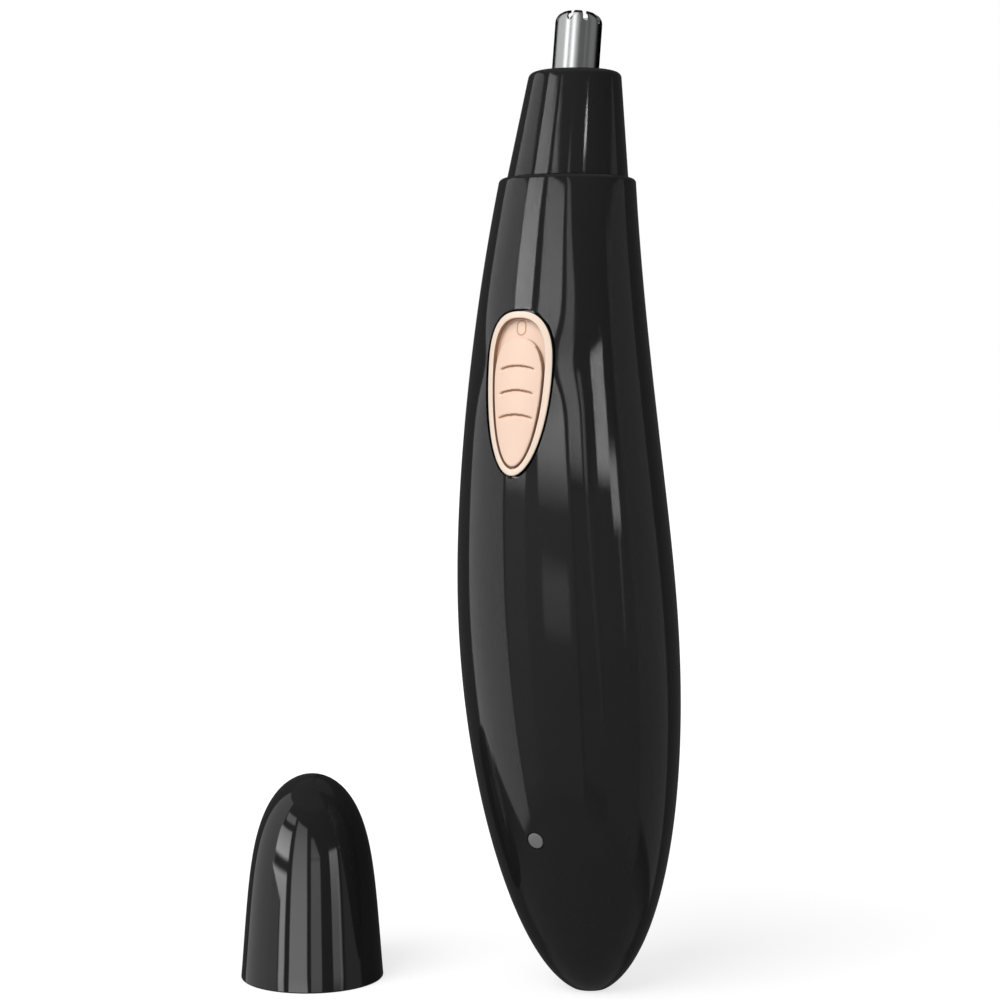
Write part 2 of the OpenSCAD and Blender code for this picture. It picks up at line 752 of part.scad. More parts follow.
// Insulated wire through a list of points that stays off the X direction
function unit(v) = v / norm(v);
function heading(path, i) =
    i == 0 ? unit(path[1] - path[0])
    : i == len(path) - 1 ? unit(path[i] - path[i - 1])
    : unit(unit(path[i] - path[i - 1]) + unit(path[i + 1] - path[i]));
module wire(path) {
    sides = 8;
    loft([for (i = [0 : len(path) - 1])
        let (d = heading(path, i), u = unit([1, 0, 0] - d.x * d), v = cross(d, u))
        [for (j = [0 : sides - 1])
            let (a = 360 * j / sides)
            path[i] + lead_r * (cos(a) * u + sin(a) * v)]]);
}

module motor_leads() {
    terminal_end = motor_back - motor_cap_h - terminal_h;
    start_z = upper_h + terminal_end * cos(head_tilt) - lead_r;
    start_y = rim_y + terminal_end * sin(head_tilt);
    color("firebrick") for (side = [-motor_d / 4, motor_d / 4])
        wire([[side, start_y, start_z], [side, start_y - lead_r, start_z - lead_bend],
              switch_point(side, lead_depth, post_z)]);
}

module power_leads() {
    charge_y = charge_board_y + board_t + lead_r;
    top_z = cell_base + cell_h + button_h + tab_t + lead_r;
    low_z = cell_base - tab_t - cell_floor_t - 2 * lead_r;
    cell_lead_y = cell_y - button_d / 2;
    cell_front_y = cell_y - cell_d / 2 - lead_r;
    color("firebrick") wire([[0, cell_lead_y, top_z], [power_lead_x, cell_front_y, top_z + lead_end],
                             switch_point(power_lead_x, lead_depth, 1.5 * post_z)]);
    color("black") wire([[0, charge_y, charge_board_base + lead_end],
                         [0, charge_y + lead_end, charge_board_base + lead_end], [0, cell_lead_y, low_z]]);
}

module jack_leads() {
    jack_top = jack_flange_z + jack_h + lead_r;
    color("dimgray") for (side = [-1, 1])
        wire([[side * jack_r / 2, jack_y, jack_top], [side * jack_r / 2, jack_y - lead_bend, jack_top + lead_bend / 2],
              [side * lead_x, charge_board_y + board_t + lead_r, charge_board_base + lead_end]]);
}

// Point of a cap's bullet profile with a mouth radius and a height, from the mouth at 0 to the tip at 90
function bullet(r, h, a) = let (z = h * pow(sin(a), 2 / cap_blunt)) [(r - tan(cap_lean) * z) * cos(a), z];

module cap() {
    steps = 12;
    inner_r = cap_r - cap_wall;
    inner_h = cap_h - cap_wall;
    color(black) translate([cap_x, cap_y, cap_z]) union() {
        rotate_extrude($fn = 96) polygon(concat(
            [[cap_seat_r, 0]],
            [for (i = [0 : steps]) bullet(cap_r, cap_h, 90 * i / steps)],
            [for (i = [0 : steps - 1]) bullet(inner_r, inner_h, 90 - 90 * i / steps)],
            [[inner_r - tan(cap_lean) * cap_seat_h, cap_seat_h], [cap_seat_r, cap_seat_h]]));
        for (i = [0 : cap_rib_count - 1]) rotate([0, 0, 360 * i / cap_rib_count])
            translate([cap_seat_r - cap_rib_reach, -cap_rib_w / 2, 0])
                cube([cap_rib_reach + 0.4, cap_rib_w, cap_seat_h]);
    }
}

front_shell();
rear_shell();
switch_bezel();
switch_slider();
switch_lever();
slide_switch();
switch_board();
charge_board();
charge_led();
indicator_lens();
charge_jack();
jack_pin();
battery_cell();
battery_tabs();
battery_frame();
motor_frame();
motor_can();
motor_end_cap();
motor_terminals();
motor_shaft();
drive_coupler();
blade_spring();
blade_stem();
cutter_blade();
stem_bush();
cutter_tube();
head_collar();
motor_leads();
power_leads();
jack_leads();
cap();
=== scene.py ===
"""Looks of a rechargeable nose hair trimmer with its cap off beside it.

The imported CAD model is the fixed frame. The operators below make the smooth, finished pieces that stand
for its nodes, dress the nodes that stay, and set up the stage. Sizes are in metres, +Z is up and the
switch faces -Y.
"""
import json
import math
from contextlib import contextmanager

import bmesh
import bpy
import numpy as np
from bpy.props import FloatProperty, FloatVectorProperty, IntProperty, PointerProperty
from mathutils import Matrix, Vector
from mathutils.bvhtree import BVHTree


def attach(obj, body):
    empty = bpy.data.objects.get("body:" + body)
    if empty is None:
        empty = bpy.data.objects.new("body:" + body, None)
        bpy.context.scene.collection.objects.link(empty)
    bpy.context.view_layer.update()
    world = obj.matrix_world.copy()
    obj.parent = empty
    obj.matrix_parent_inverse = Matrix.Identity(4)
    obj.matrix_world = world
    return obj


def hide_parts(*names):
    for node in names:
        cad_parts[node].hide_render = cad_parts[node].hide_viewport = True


bl_info = {
    "name": "Nose Hair Trimmer",
    "version": (1, 0, 0),
    "blender": (4, 5, 0),
    "location": "View3D > Sidebar > Trimmer",
    "description": "Builds the finished pieces of a nose hair trimmer on its CAD frame",
    "category": "Object",
}

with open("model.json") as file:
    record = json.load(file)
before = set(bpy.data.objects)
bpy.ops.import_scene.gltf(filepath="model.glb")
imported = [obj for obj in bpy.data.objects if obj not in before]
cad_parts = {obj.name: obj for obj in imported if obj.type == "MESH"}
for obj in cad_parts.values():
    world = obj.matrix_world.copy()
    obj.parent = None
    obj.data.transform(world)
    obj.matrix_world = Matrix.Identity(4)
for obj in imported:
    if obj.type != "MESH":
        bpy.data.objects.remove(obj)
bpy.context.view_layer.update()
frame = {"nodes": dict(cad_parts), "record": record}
MM = 0.001
# Points closer than this are merged
MERGE = 1e-7
# Edges where faces meet at more than this many degrees stay sharp
CREASE = 35
# Steps around the switch's outline, and the merging and sharp edges of its pieces and of the blades
SWITCH_STEPS, SWITCH_MERGE, SWITCH_CREASE, BLADE_CREASE = 240, 1e-6, 50, 20
# Finishes by name
FINISHES = {}


def length(name, description, default_mm, low=0.0):
    """A length property with its default in millimetres."""
    return FloatProperty(name=name, description=description, default=default_mm * MM, min=low, precision=5,
                         unit="LENGTH")


def spot(name, description, default_mm):
    """A point property with its default in millimetres."""
    return FloatVectorProperty(name=name, description=description, size=3, precision=5,
                               default=[MM * value for value in default_mm], unit="LENGTH")


def slant(name, description, degrees):
    """An angle property with its default in degrees."""
    return FloatProperty(name=name, description=description, default=math.radians(degrees), subtype="ANGLE")


def number(name, description, default, **options):
    """A property of a plain number or a power."""
    return FloatProperty(name=name, description=description, default=default, **options)


def tally(name, description, default, low, high):
    """A property that counts something."""
    return IntProperty(name=name, description=description, default=default, min=low, max=high)


def colour(name, description, default):
    """A linear colour property."""
    return FloatVectorProperty(name=name, description=description, default=default, size=3, min=0.0, max=1.0,
                               subtype="COLOR")


class TrimmerBody(bpy.types.PropertyGroup):
    """Sizes of the two body shells and the charge light."""
    grip_d: length("Grip", "Largest body diameter", 31.5)
    rim_d: length("Rim", "Body diameter at the rim that carries the head", 19.3)
    tail_h: length("Tail", "Height of the tail below the grip", 52)
    upper_h: length("Upper", "Height from the grip to the rim", 66)
    taper_round: number("Taper Round", "Roundness of the taper above the grip", 0.36, min=0.1, max=1.0)
    tail_bow: length("Tail Bow", "Forward pull of the spine's lower handle", 4.1)
    waist_bow: length("Waist Bow", "Forward pull of the spine's upper handle", 13.1)
    rim_bow: length("Rim Bow", "Forward offset of the rim from the tail tip", 7.3)
    wall: length("Wall", "Wall of the shells", 1.6)
    tip_wall: length("Tip Wall", "Thickness of the shells at the tail tip", 1.8)
    rim_round: length("Rim Round", "Radius on the edge of the rim", 0.6)
    inlet_d: length("Inlet", "Opening for the charging inlet in the tail tip", 4.5)
    inlet_flat: length("Inlet Flat", "Width of the flat around the inlet", 0.25)
    seam_gap: length("Seam", "Hairline between the two shells at the grip", 0.03)
    led_z: length("Light Height", "Height of the charge light", -26.9, -1.0)
    lens_d: length("Light", "Diameter of the charge light's lens", 2.3)


class TrimmerHead(bpy.types.PropertyGroup):
    """Sizes of the collar, the cutter tube and the blades."""
    tilt: slant("Lean", "Backward lean of the head", 8.4)
    base_d: length("Collar Base", "Collar diameter on the rim", 17.2)
    top_d: length("Collar Top", "Collar diameter at the top", 13.3)
    collar_h: length("Collar Height", "Height of the collar", 15.2)
    collar_round: length("Collar Round", "Radius on the collar's top edge", 0.9)
    top_t: length("Collar Top Wall", "Thickness of the collar's top around the tube", 3.6)
    bore_d: length("Collar Bore", "Inside diameter of the collar", 9.6)
    spigot_d: length("Plug", "Diameter of the collar's plug in the neck", 12.8)
    spigot_h: length("Plug Length", "Length of the collar's plug in the neck", 5.4)
    tube_d: length("Tube", "Outside diameter of the cutter tube", 6.7)
    tube_wall: length("Tube Wall", "Wall of the cutter tube", 0.35)
    tube_reach: length("Tube Reach", "Length of the cutter tube above the collar", 8.5)
    tube_round: length("Tube Round", "Radius on the tip of the cutter tube", 1.4)
    foot_d: length("Tube Foot", "Diameter of the tube's foot flange", 8.6)
    foot_t: length("Tube Foot Height", "Thickness of the tube's foot flange", 0.8)
    slot_count: tally("Slots", "Number of hair slots", 9, 3, 24)
    slot_w: length("Slot Width", "Width of a hair slot", 0.8)
    slot_depth: length("Slot Depth", "Depth of a hair slot", 1.7)
    slot_phase: slant("Slot Phase", "Angle of the first slot from +X", -5)
    blade_count: tally("Blades", "Number of cutter blades", 4, 2, 8)
    blade_t: length("Blade", "Thickness of a blade", 0.45)
    blade_h: length("Blade Height", "Height of the blades", 7)
    stem_d: length("Stem", "Diameter of the blade stem", 3)


class TrimmerSwitch(bpy.types.PropertyGroup):
    """Sizes of the egg-shaped slide switch."""
    drop: length("Drop", "Drop of the bezel's widest point below the rim", 26.4)
    width: length("Width", "Width of the bezel", 10)
    up: length("Up", "Length of the bezel above its widest point", 7.4)
    down: length("Down", "Length of the bezel below its widest point", 15.2)
    top_pow: number("Top Bluntness", "Bluntness of the upper end", 2.5)
    bottom_pow: number("Bottom Bluntness", "Bluntness of the lower end", 2.05)
    rim: length("Rim", "Width of the bezel's rim", 0.95)
    proud: length("Proud", "Height of the bezel above the body", 0)
    well: length("Well", "Depth of the well below the bezel's rim", 0.95)
    gap: length("Gap", "Gap between the body and the bezel", 0.35)
    slider_gap: length("Slider Gap", "Gap between the slider and the bezel", 0.28)
    travel: length("Travel", "Travel of the slider", 2.4)
    groove_count: tally("Grooves", "Number of finger grooves", 3, 1, 5)
    groove_pitch: length("Groove Pitch", "Distance from groove to groove", 3.35)
    groove_w: length("Groove Width", "Width of a groove", 0.6)
    groove_depth: length("Groove Depth", "Depth of a groove", 0.3)


class TrimmerCap(bpy.types.PropertyGroup):
    """Sizes and place of the cap."""
    mouth_d: length("Mouth", "Cap diameter at its mouth", 21.2)
    lean: slant("Lean", "Inward lean of the wall above the mouth", 4.4)
    blunt: number("Bluntness", "Bluntness of the dome", 5.1, min=2.0, max=9.0)
    height: length("Height", "Overall cap height", 30.4)
    wall: length("Wall", "Cap wall", 1.1)
    seat_d: length("Seat", "Inside diameter of the seat in the mouth", 17.9)
    seat_h: length("Seat Height", "Height of the seat in the mouth", 3)
    rib_count: tally("Ribs", "Number of grip ribs in the mouth", 6, 3, 12)
    place: spot("Place", "Centre of the cap's mouth", (-39, -8.5, -51.341))


class TrimmerFinish(bpy.types.PropertyGroup):
    """Colours of the finishes."""
    gloss_black: colour("Gloss Black", "Shells, collar and cap", (0.0158, 0.0158, 0.016))
    rose_gold: colour("Rose Gold", "Slider", (0.97, 0.715, 0.57))
    # Pale Gold is a paler copy of the rose gold for the bezel's rim: partly a glossier plating, partly
    # painted highlight
    pale_gold: colour("Pale Gold", "Rim of the bezel", (0.97, 0.785, 0.65))
    # Gap Shade is painted shade: a dark brown that stands in for the shade on the switch's side walls, gaps
    # and groove walls
    gap_shade: colour("Gap Shade", "Unplated sides and grooves of the switch", (0.42, 0.26, 0.17))
    steel: colour("Steel", "Cutter tube and blades", (0.74, 0.745, 0.75))
    lens: colour("Light Lens", "Charge light while it is off", (0.225, 0.225, 0.225))
    mark: colour("Off Mark", "Ring mark in the switch's well", (0.62, 0.38, 0.27))


class TrimmerStage(bpy.types.PropertyGroup):
    """View and lights."""
    azimuth: slant("Azimuth", "View angle around the trimmer from the switch side", 30)
    elevation: slant("Elevation", "View angle above level", 2.77)
    distance: length("Distance", "Camera to target", 320)
    field: slant("Field", "Field of view", 25.166)
    target: spot("Target", "Point in the middle of the picture", (-8.6, -4.97, 20.5))
    key: number("Key", "Power of the key softbox", 4.6, unit="POWER")
    fill: number("Fill", "Power of the fill softbox", 0.6, unit="POWER")
    room: number("Room", "Strength of the even room light", 0.3)


# Forms


def spine_y(body, z):
    """Y of the body's bowed spine at a height."""
    whole = body.tail_h + body.upper_h

    def bow(w):
        return (3 * (1 - w) ** 2 * w * body.tail_bow + 3 * (1 - w) * w * w * body.waist_bow
                + w ** 3 * body.rim_bow)
    return bow(body.tail_h / whole) - bow((z + body.tail_h) / whole)


def body_r(body, z):
    """Radius of the body's level section at a height."""
    grip_r = body.grip_d / 2
    if z < 0:
        return grip_r * math.sqrt(max(0.0, 1 - (z / body.tail_h) ** 2))
    k = body.taper_round
    taper = (1 - body.rim_d / body.grip_d) / (math.sqrt(1 + k * k) - k)
    return grip_r * (1 - taper * (math.sqrt((z / body.upper_h) ** 2 + k * k) - k))


def cavity_r(body, z):
    """Radius of the hollow inside the shells at a height."""
    if z >= 0:
        return body_r(body, z) - body.wall
    inner_h = body.tail_h - body.tip_wall
    hollow_r = (body.grip_d / 2 - body.wall) * math.sqrt(max(0.0, 1 - (z / inner_h) ** 2))
    return max(body.inlet_d / 2, hollow_r)


def front_y(body, z):
    """Y of the body's front line at a height."""
    return spine_y(body, z) - body_r(body, z)


def front_slope(body, low, high):
    """Backward lean of the body's front line between two heights."""
    return math.atan((front_y(body, high) - front_y(body, low)) / (high - low))


def tip_z(body):
    """Height of the flat around the inlet at the tail tip."""
    flat_r = body.inlet_d / 2 + body.inlet_flat
    return -body.tail_h * math.sqrt(1 - (flat_r / (body.grip_d / 2)) ** 2)


def tilted(y, z, angle):
    """Frame at a place in the middle plane, turned about X."""
    return Matrix.Translation((0, y, z)) @ Matrix.Rotation(angle, 4, "X")


def head_matrix(body, head):
    """Frame of the head: Z runs up its axis from the centre of the rim."""
    return tilted(spine_y(body, body.upper_h), body.upper_h, -head.tilt)


def switch_matrix(body, switch):
    """Frame of the switch: Y points into the body and Z along the slide."""
    z = body.upper_h - switch.drop
    return tilted(front_y(body, z), z, -front_slope(body, z - switch.down, z + switch.up))


def lens_matrix(body):
    """Frame of the charge light: Z points out of the body."""
    z, step = body.led_z, 0.5 * MM
    return tilted(front_y(body, z), z, math.pi / 2 - front_slope(body, z - step, z + step))


def collar_top(head):
    """Height of the collar's top along the head axis."""
    return head.collar_h / math.cos(head.tilt)


def egg(switch, inset):
    """Outline of the switch, blunt above and pointed below, shrunk all round by inset."""
    points = []
    for a in (2 * math.pi * i / SWITCH_STEPS for i in range(SWITCH_STEPS)):
        c, s = math.cos(a), math.sin(a)
        bluntness, reach = (switch.top_pow, switch.up) if s >= 0 else (switch.bottom_pow, switch.down)
        x = (switch.width / 2 - inset) * math.copysign(abs(c) ** (2 / bluntness), c)
        points.append((x, (reach - inset) * math.copysign(abs(s) ** (2 / bluntness), s)))
    return points


def fillet(centre, radius, start, end, steps):
    """Points (girth, height) of an arc between two angles in degrees."""
    angles = [math.radians(start + (end - start) * i / steps) for i in range(steps + 1)]
    return [(centre[0] + radius * math.cos(a), centre[1] + radius * math.sin(a)) for a in angles]


# Mesh helpers


def mesh_of(name, points, faces):
    """A mesh from plain lists."""
    mesh = bpy.data.meshes.new(name)
    mesh.from_pydata([tuple(p) for p in points], [], faces)
    return mesh


def object_of(name, mesh):
    """A new object in the scene."""
    piece = bpy.data.objects.new(name, mesh)
    bpy.context.scene.collection.objects.link(piece)
    return piece


@contextmanager
def edited(mesh):
    """A bmesh of a mesh, written back at the end."""
    bm = bmesh.new()
    bm.from_mesh(mesh)
    yield bm
    bm.to_mesh(mesh)
    bm.free()


def shade_smooth(bm, crease):
    """Smooth faces, with sharp edges where they meet at more than an angle in degrees."""
    for face in bm.faces:
        face.smooth = True
    for edge in bm.edges:
        edge.smooth = not (len(edge.link_faces) == 2 and edge.calc_face_angle(0.0) > math.radians(crease))


def tidy_mesh(mesh, crease=CREASE, merge=MERGE):
    """The mesh with doubles merged, faces turned outwards, and smooth shading with sharp creases."""
    with edited(mesh) as bm:
        bmesh.ops.remove_doubles(bm, verts=bm.verts, dist=merge)
        bmesh.ops.dissolve_degenerate(bm, edges=bm.edges, dist=merge)
        bmesh.ops.recalc_face_normals(bm, faces=bm.faces)
        shade_smooth(bm, crease)
    mesh.update()
    return mesh


def ring_faces(rows, count, closed=False):
    """Quads between rows of closed rings, and from the last ring back to the first if closed."""
    steps = [(r * count, (r + 1) % rows * count) for r in range(rows if closed else rows - 1)]
    return [(a + i, a + (i + 1) % count, b + (i + 1) % count, b + i) for a, b in steps for i in range(count)]


def prism(name, outline, ends, order):
    """Closed prism of an outline (u, v) between two ends, its axes u, v and end put in the order given."""
    count = len(outline)
    rows = [(u, v, end) for end in ends for u, v in outline]
    caps = [tuple(range(count)), tuple(reversed(range(count, 2 * count)))]
    return tidy_mesh(mesh_of(name, [[row[i] for i in order] for row in rows], ring_faces(2, count) + caps))


def evaluated_mesh(piece):
    """Plain mesh of an object with its modifiers applied."""
    graph = bpy.context.evaluated_depsgraph_get()
    graph.update()
    return bpy.data.meshes.new_from_object(piece.evaluated_get(graph))


def drop(piece):
    """Removes a helper object and its mesh."""
    mesh = piece.data
    bpy.data.objects.remove(piece)
    if mesh.users == 0:
        bpy.data.meshes.remove(mesh)


def joined(name, meshes):
    """One mesh out of several."""
    bm = bmesh.new()
    for mesh in meshes:
        bm.from_mesh(mesh)
    whole = bpy.data.meshes.new(name)
    bm.to_mesh(whole)
    bm.free()
    return whole


def cut(mesh, cutters):
    """Mesh with cutters taken away, the uncut surface's normals kept next to the cuts."""
    work = object_of("cut_work", mesh)
    tools = [object_of("cut_tool", cutter) for cutter in cutters]
    for tool in tools:
        modifier = work.modifiers.new("cut", "BOOLEAN")
        modifier.operation = "DIFFERENCE"
        modifier.solver = "EXACT"
        modifier.object = tool
    result = evaluated_mesh(work)
    carry_normals(result, mesh)
    for helper in tools + [work]:
        drop(helper)
    return result


def carry_normals(target, source):
    """Gives the faces of target that lie on source the smooth normals of source."""
    on_surface, same_way, inwards = 0.02 * MM, 0.94, 0.02
    tree = BVHTree.FromPolygons([v.co for v in source.vertices], [p.vertices for p in source.polygons])
    corners = source.corner_normals
    with edited(target) as bm:
        shade_smooth(bm, CREASE)
    normals = [Vector()] * len(target.loops)
    for polygon in target.polygons:
        _, normal, _, distance = tree.find_nearest(polygon.center)
        if distance > on_surface or normal.dot(polygon.normal) < same_way:
            continue
        for loop in polygon.loop_indices:
            point = target.vertices[target.loops[loop].vertex_index].co
            _, _, near, _ = tree.find_nearest(point.lerp(polygon.center, inwards))
            normals[loop] = blended_normal(source, corners, source.polygons[near], point)
    target.normals_split_custom_set(normals)


def blended_normal(source, corners, polygon, point):
    """Normal of a source face at a point, blended from its corners by distance."""
    total = Vector()
    for loop in polygon.loop_indices:
        gap = (source.vertices[source.loops[loop].vertex_index].co - point).length
        total += Vector(corners[loop].vector) / max(gap, 1e-9) ** 2
    return total.normalized()


# Node helpers


def feed(tree, socket, value):
    """Links an input to a socket, or sets it to a value."""
    if isinstance(value, bpy.types.NodeSocket):
        tree.links.new(value, socket)
    else:
        socket.default_value = value


def add_node(tree, kind, inputs=None, **settings):
    """Outputs of a new node, after its settings are made and its inputs fed."""
    node = tree.nodes.new(kind)
    for name, value in settings.items():
        setattr(node, name, value)
    for label, value in (inputs or {}).items():
        feed(tree, node.inputs[label], value)
    return node.outputs


def maths(tree, operation, *values):
    """Result of a Math node."""
    return add_node(tree, "ShaderNodeMath", dict(enumerate(values)), operation=operation)[0]


def node_group(kind, name, inputs, outputs):
    """An empty node group with named kinds of sockets, and what it is given."""
    tree = bpy.data.node_groups.new(name, kind + "NodeTree")
    for way, sockets in (("INPUT", inputs), ("OUTPUT", outputs)):
        for label, socket in sockets.items():
            tree.interface.new_socket(label, in_out=way, socket_type="NodeSocket" + socket)
    return tree, add_node(tree, "NodeGroupInput")


# Geometry Nodes


def finish_tree(tree, geometry, material):
    """Realizes the geometry and gives it its material at the end of a tree."""
    real = add_node(tree, "GeometryNodeRealizeInstances", {"Geometry": geometry})
    painted = add_node(tree, "GeometryNodeSetMaterial", {"Geometry": real["Geometry"], "Material": material})
    add_node(tree, "NodeGroupOutput", {"Geometry": painted["Geometry"]})


def level_loft_tree():
    """Skin of level arcs around a row of stations, each a point with its own girth."""
    tree, given = node_group("Geometry", "Level Loft", {
        "Geometry": "Geometry", "Material": "Material", "Segments": "Int", "Start": "Float",
        "Sweep": "Float"}, {"Geometry": "Geometry"})
    stations, segments = given["Geometry"], given["Segments"]
    count = add_node(tree, "GeometryNodeAttributeDomainSize", {"Geometry": stations})["Point Count"]
    columns = maths(tree, "ADD", segments, 1.0)
    grid = add_node(tree, "GeometryNodeMeshGrid", {"Vertices X": count, "Vertices Y": columns})
    index = add_node(tree, "GeometryNodeInputIndex")["Index"]
    station = maths(tree, "FLOOR", maths(tree, "DIVIDE", maths(tree, "ADD", index, 0.5), columns))
    column = maths(tree, "SUBTRACT", index, maths(tree, "MULTIPLY", station, columns))

    def at_station(kind, field):
        return add_node(tree, "GeometryNodeSampleIndex", {
            "Geometry": stations, "Value": field, "Index": station}, data_type=kind, domain="POINT")["Value"]
    attribute = add_node(tree, "GeometryNodeInputNamedAttribute", {"Name": "girth"}, data_type="FLOAT")
    girth = at_station("FLOAT", attribute["Attribute"])
    centre = at_station("FLOAT_VECTOR", add_node(tree, "GeometryNodeInputPosition")["Position"])
    share = maths(tree, "DIVIDE", column, segments)
    angle = maths(tree, "MULTIPLY_ADD", share, given["Sweep"], given["Start"])
    aside = maths(tree, "MULTIPLY", girth, maths(tree, "SINE", angle))
    back = maths(tree, "MULTIPLY", girth, maths(tree, "COSINE", angle))
    offset = add_node(tree, "ShaderNodeCombineXYZ", {"X": aside, "Y": maths(tree, "MULTIPLY", back, -1.0)})
    skin = add_node(tree, "GeometryNodeSetPosition", {
        "Geometry": grid["Mesh"], "Position": centre, "Offset": offset["Vector"]})
    merged = add_node(tree, "GeometryNodeMergeByDistance", {"Geometry": skin["Geometry"], "Distance": MERGE})
    finish_tree(tree, merged["Geometry"], given["Material"])


def ring_tree():
    """Copies of one form in a ring around Z."""
    tree, given = node_group("Geometry", "Ring", {
        "Geometry": "Geometry", "Material": "Material", "Count": "Int", "Phase": "Float"},
        {"Geometry": "Geometry"})
    points = add_node(tree, "GeometryNodeMeshLine", {"Count": given["Count"], "Offset": (0, 0, 0)})
    share = maths(tree, "DIVIDE", add_node(tree, "GeometryNodeInputIndex")["Index"], given["Count"])
    angle = maths(tree, "MULTIPLY_ADD", share, 2 * math.pi, given["Phase"])
    euler = add_node(tree, "ShaderNodeCombineXYZ", {"Z": angle})
    spin = add_node(tree, "FunctionNodeEulerToRotation", {"Euler": euler["Vector"]})
    copies = add_node(tree, "GeometryNodeInstanceOnPoints", {
        "Points": points["Mesh"], "Instance": given["Geometry"], "Rotation": spin["Rotation"]})
    finish_tree(tree, copies["Instances"], given["Material"])


def grown(mesh, name, finish, values):
    """Plain mesh with a finish that a named Geometry Nodes group makes from a mesh."""
    work = object_of("tree_work", mesh)
    modifier = work.modifiers.new("tree", "NODES")
    modifier.node_group = bpy.data.node_groups[name]
    values["Material"] = FINISHES[finish]
    for item in modifier.node_group.interface.items_tree:
        if item.in_out == "INPUT" and item.name in values:
            modifier[item.identifier] = values[item.name]
    result = evaluated_mesh(work)
    work.modifiers.clear()
    drop(work)
    return result


def lofted(stations, segments, finish, start=0.0, sweep=2 * math.pi):
    """Mesh of level arcs through stations (girth, y, z)."""
    line = mesh_of("stations", [(0, y, z) for _, y, z in stations], [])
    girth = line.attributes.new("girth", "FLOAT", "POINT")
    girth.data.foreach_set("value", [g for g, _, _ in stations])
    return grown(line, "Level Loft", finish, {"Segments": segments, "Start": start, "Sweep": sweep})


def turned(profile, segments, finish):
    """Mesh of a profile (girth, height) turned about Z."""
    return lofted([(g, 0.0, z) for g, z in profile], segments, finish)


def ringed(mesh, count, finish, phase=0.0):
    """Mesh of copies in a ring about Z."""
    return grown(mesh, "Ring", finish, {"Count": count, "Phase": phase})


# Materials


def noise(tree, vector, scale, detail):
    """A noise field."""
    return add_node(tree, "ShaderNodeTexNoise", {"Vector": vector, "Scale": scale, "Detail": detail})["Fac"]


def map_range(tree, value, low, high, to_low=0.0, to_high=1.0, **settings):
    """A value brought from one range to another."""
    inputs = {"Value": value, "From Min": low, "From Max": high, "To Min": to_low, "To Max": to_high}
    return add_node(tree, "ShaderNodeMapRange", inputs, **settings)["Result"]


def make_groups():
    """Effects that several finishes share."""
    tree, given = node_group("Shader", "Tone Drift", {
        "Vector": "Vector", "Colour": "Color", "Scale": "Float", "Spread": "Float"}, {"Colour": "Color"})
    drift = maths(tree, "SUBTRACT", noise(tree, given["Vector"], given["Scale"], detail=4.0), 0.5)
    gain = maths(tree, "MULTIPLY_ADD", drift, maths(tree, "MULTIPLY", given["Spread"], 2.0), 1.0)
    tint = add_node(tree, "ShaderNodeVectorMath", {0: given["Colour"], "Scale": gain}, operation="SCALE")
    add_node(tree, "NodeGroupOutput", {"Colour": tint["Vector"]})

    tree, given = node_group("Shader", "Handling Marks", {
        "Vector": "Vector", "Clean": "Float", "Smudged": "Float"}, {"Roughness": "Float"})
    smears, specks, smear_share, bare, covered = 70.0, 980.0, 0.7, 0.35, 0.68
    broad = noise(tree, given["Vector"], smears, detail=3.0)
    fine = noise(tree, given["Vector"], specks, detail=2.0)
    mask = maths(tree, "MULTIPLY_ADD", fine, 1 - smear_share, maths(tree, "MULTIPLY", broad, smear_share))
    rough = map_range(tree, mask, bare, covered, given["Clean"], given["Smudged"])
    add_node(tree, "NodeGroupOutput", {"Roughness": rough})

    tree, given = node_group("Shader", "Fine Grain", {"Vector": "Vector", "Scale": "Float"},
                             {"Height": "Float"})
    grain = noise(tree, given["Vector"], given["Scale"], detail=2.0)
    add_node(tree, "NodeGroupOutput", {"Height": grain})

    tree, given = node_group("Shader", "Turning Lines", {
        "Vector": "Vector", "Lines": "Float", "Clean": "Float", "Lined": "Float"},
        {"Height": "Float", "Roughness": "Float"})
    along_lines = (0.03, 0.03, 1.0)
    drawn = add_node(tree, "ShaderNodeVectorMath", {0: given["Vector"], 1: along_lines}, operation="MULTIPLY")
    lines = noise(tree, drawn["Vector"], given["Lines"], detail=2.0)
    rough = map_range(tree, lines, 0.0, 1.0, given["Clean"], given["Lined"])
    add_node(tree, "NodeGroupOutput", {"Height": lines, "Roughness": rough})


def placed_group(tree, name, inputs):
    """Outputs of a shared group placed in a material with its own inputs."""
    return add_node(tree, "ShaderNodeGroup", inputs, node_tree=bpy.data.node_groups[name])


def new_finish(name):
    """Tree of a new finish, the inputs of its Principled shader, and its Object coordinates."""
    FINISHES[name] = material = bpy.data.materials.new(name + "_finish")
    material.use_nodes = True
    tree = material.node_tree
    return tree, tree.nodes["Principled BSDF"].inputs, add_node(tree, "ShaderNodeTexCoord")["Object"]


def add_bump(tree, height, strength, distance):
    """A bump from a height field into the shader's normal, on top of the bump that is there."""
    normal = tree.nodes["Principled BSDF"].inputs["Normal"]
    inputs = {"Strength": strength, "Distance": distance, "Height": height}
    inputs.update({"Normal": link.from_socket for link in normal.links})
    feed(tree, normal, add_node(tree, "ShaderNodeBump", inputs)["Normal"])


def drifting(tree, vector, tone, scale, spread):
    """A tone that drifts a little over the surface."""
    return placed_group(tree, "Tone Drift", {
        "Vector": vector, "Colour": (*tone, 1), "Scale": scale, "Spread": spread})["Colour"]


def handled(tree, vector, rough):
    """Roughness between clean and smudged."""
    clean, smudged = rough
    return placed_group(tree, "Handling Marks", {
        "Vector": vector, "Clean": clean, "Smudged": smudged})["Roughness"]


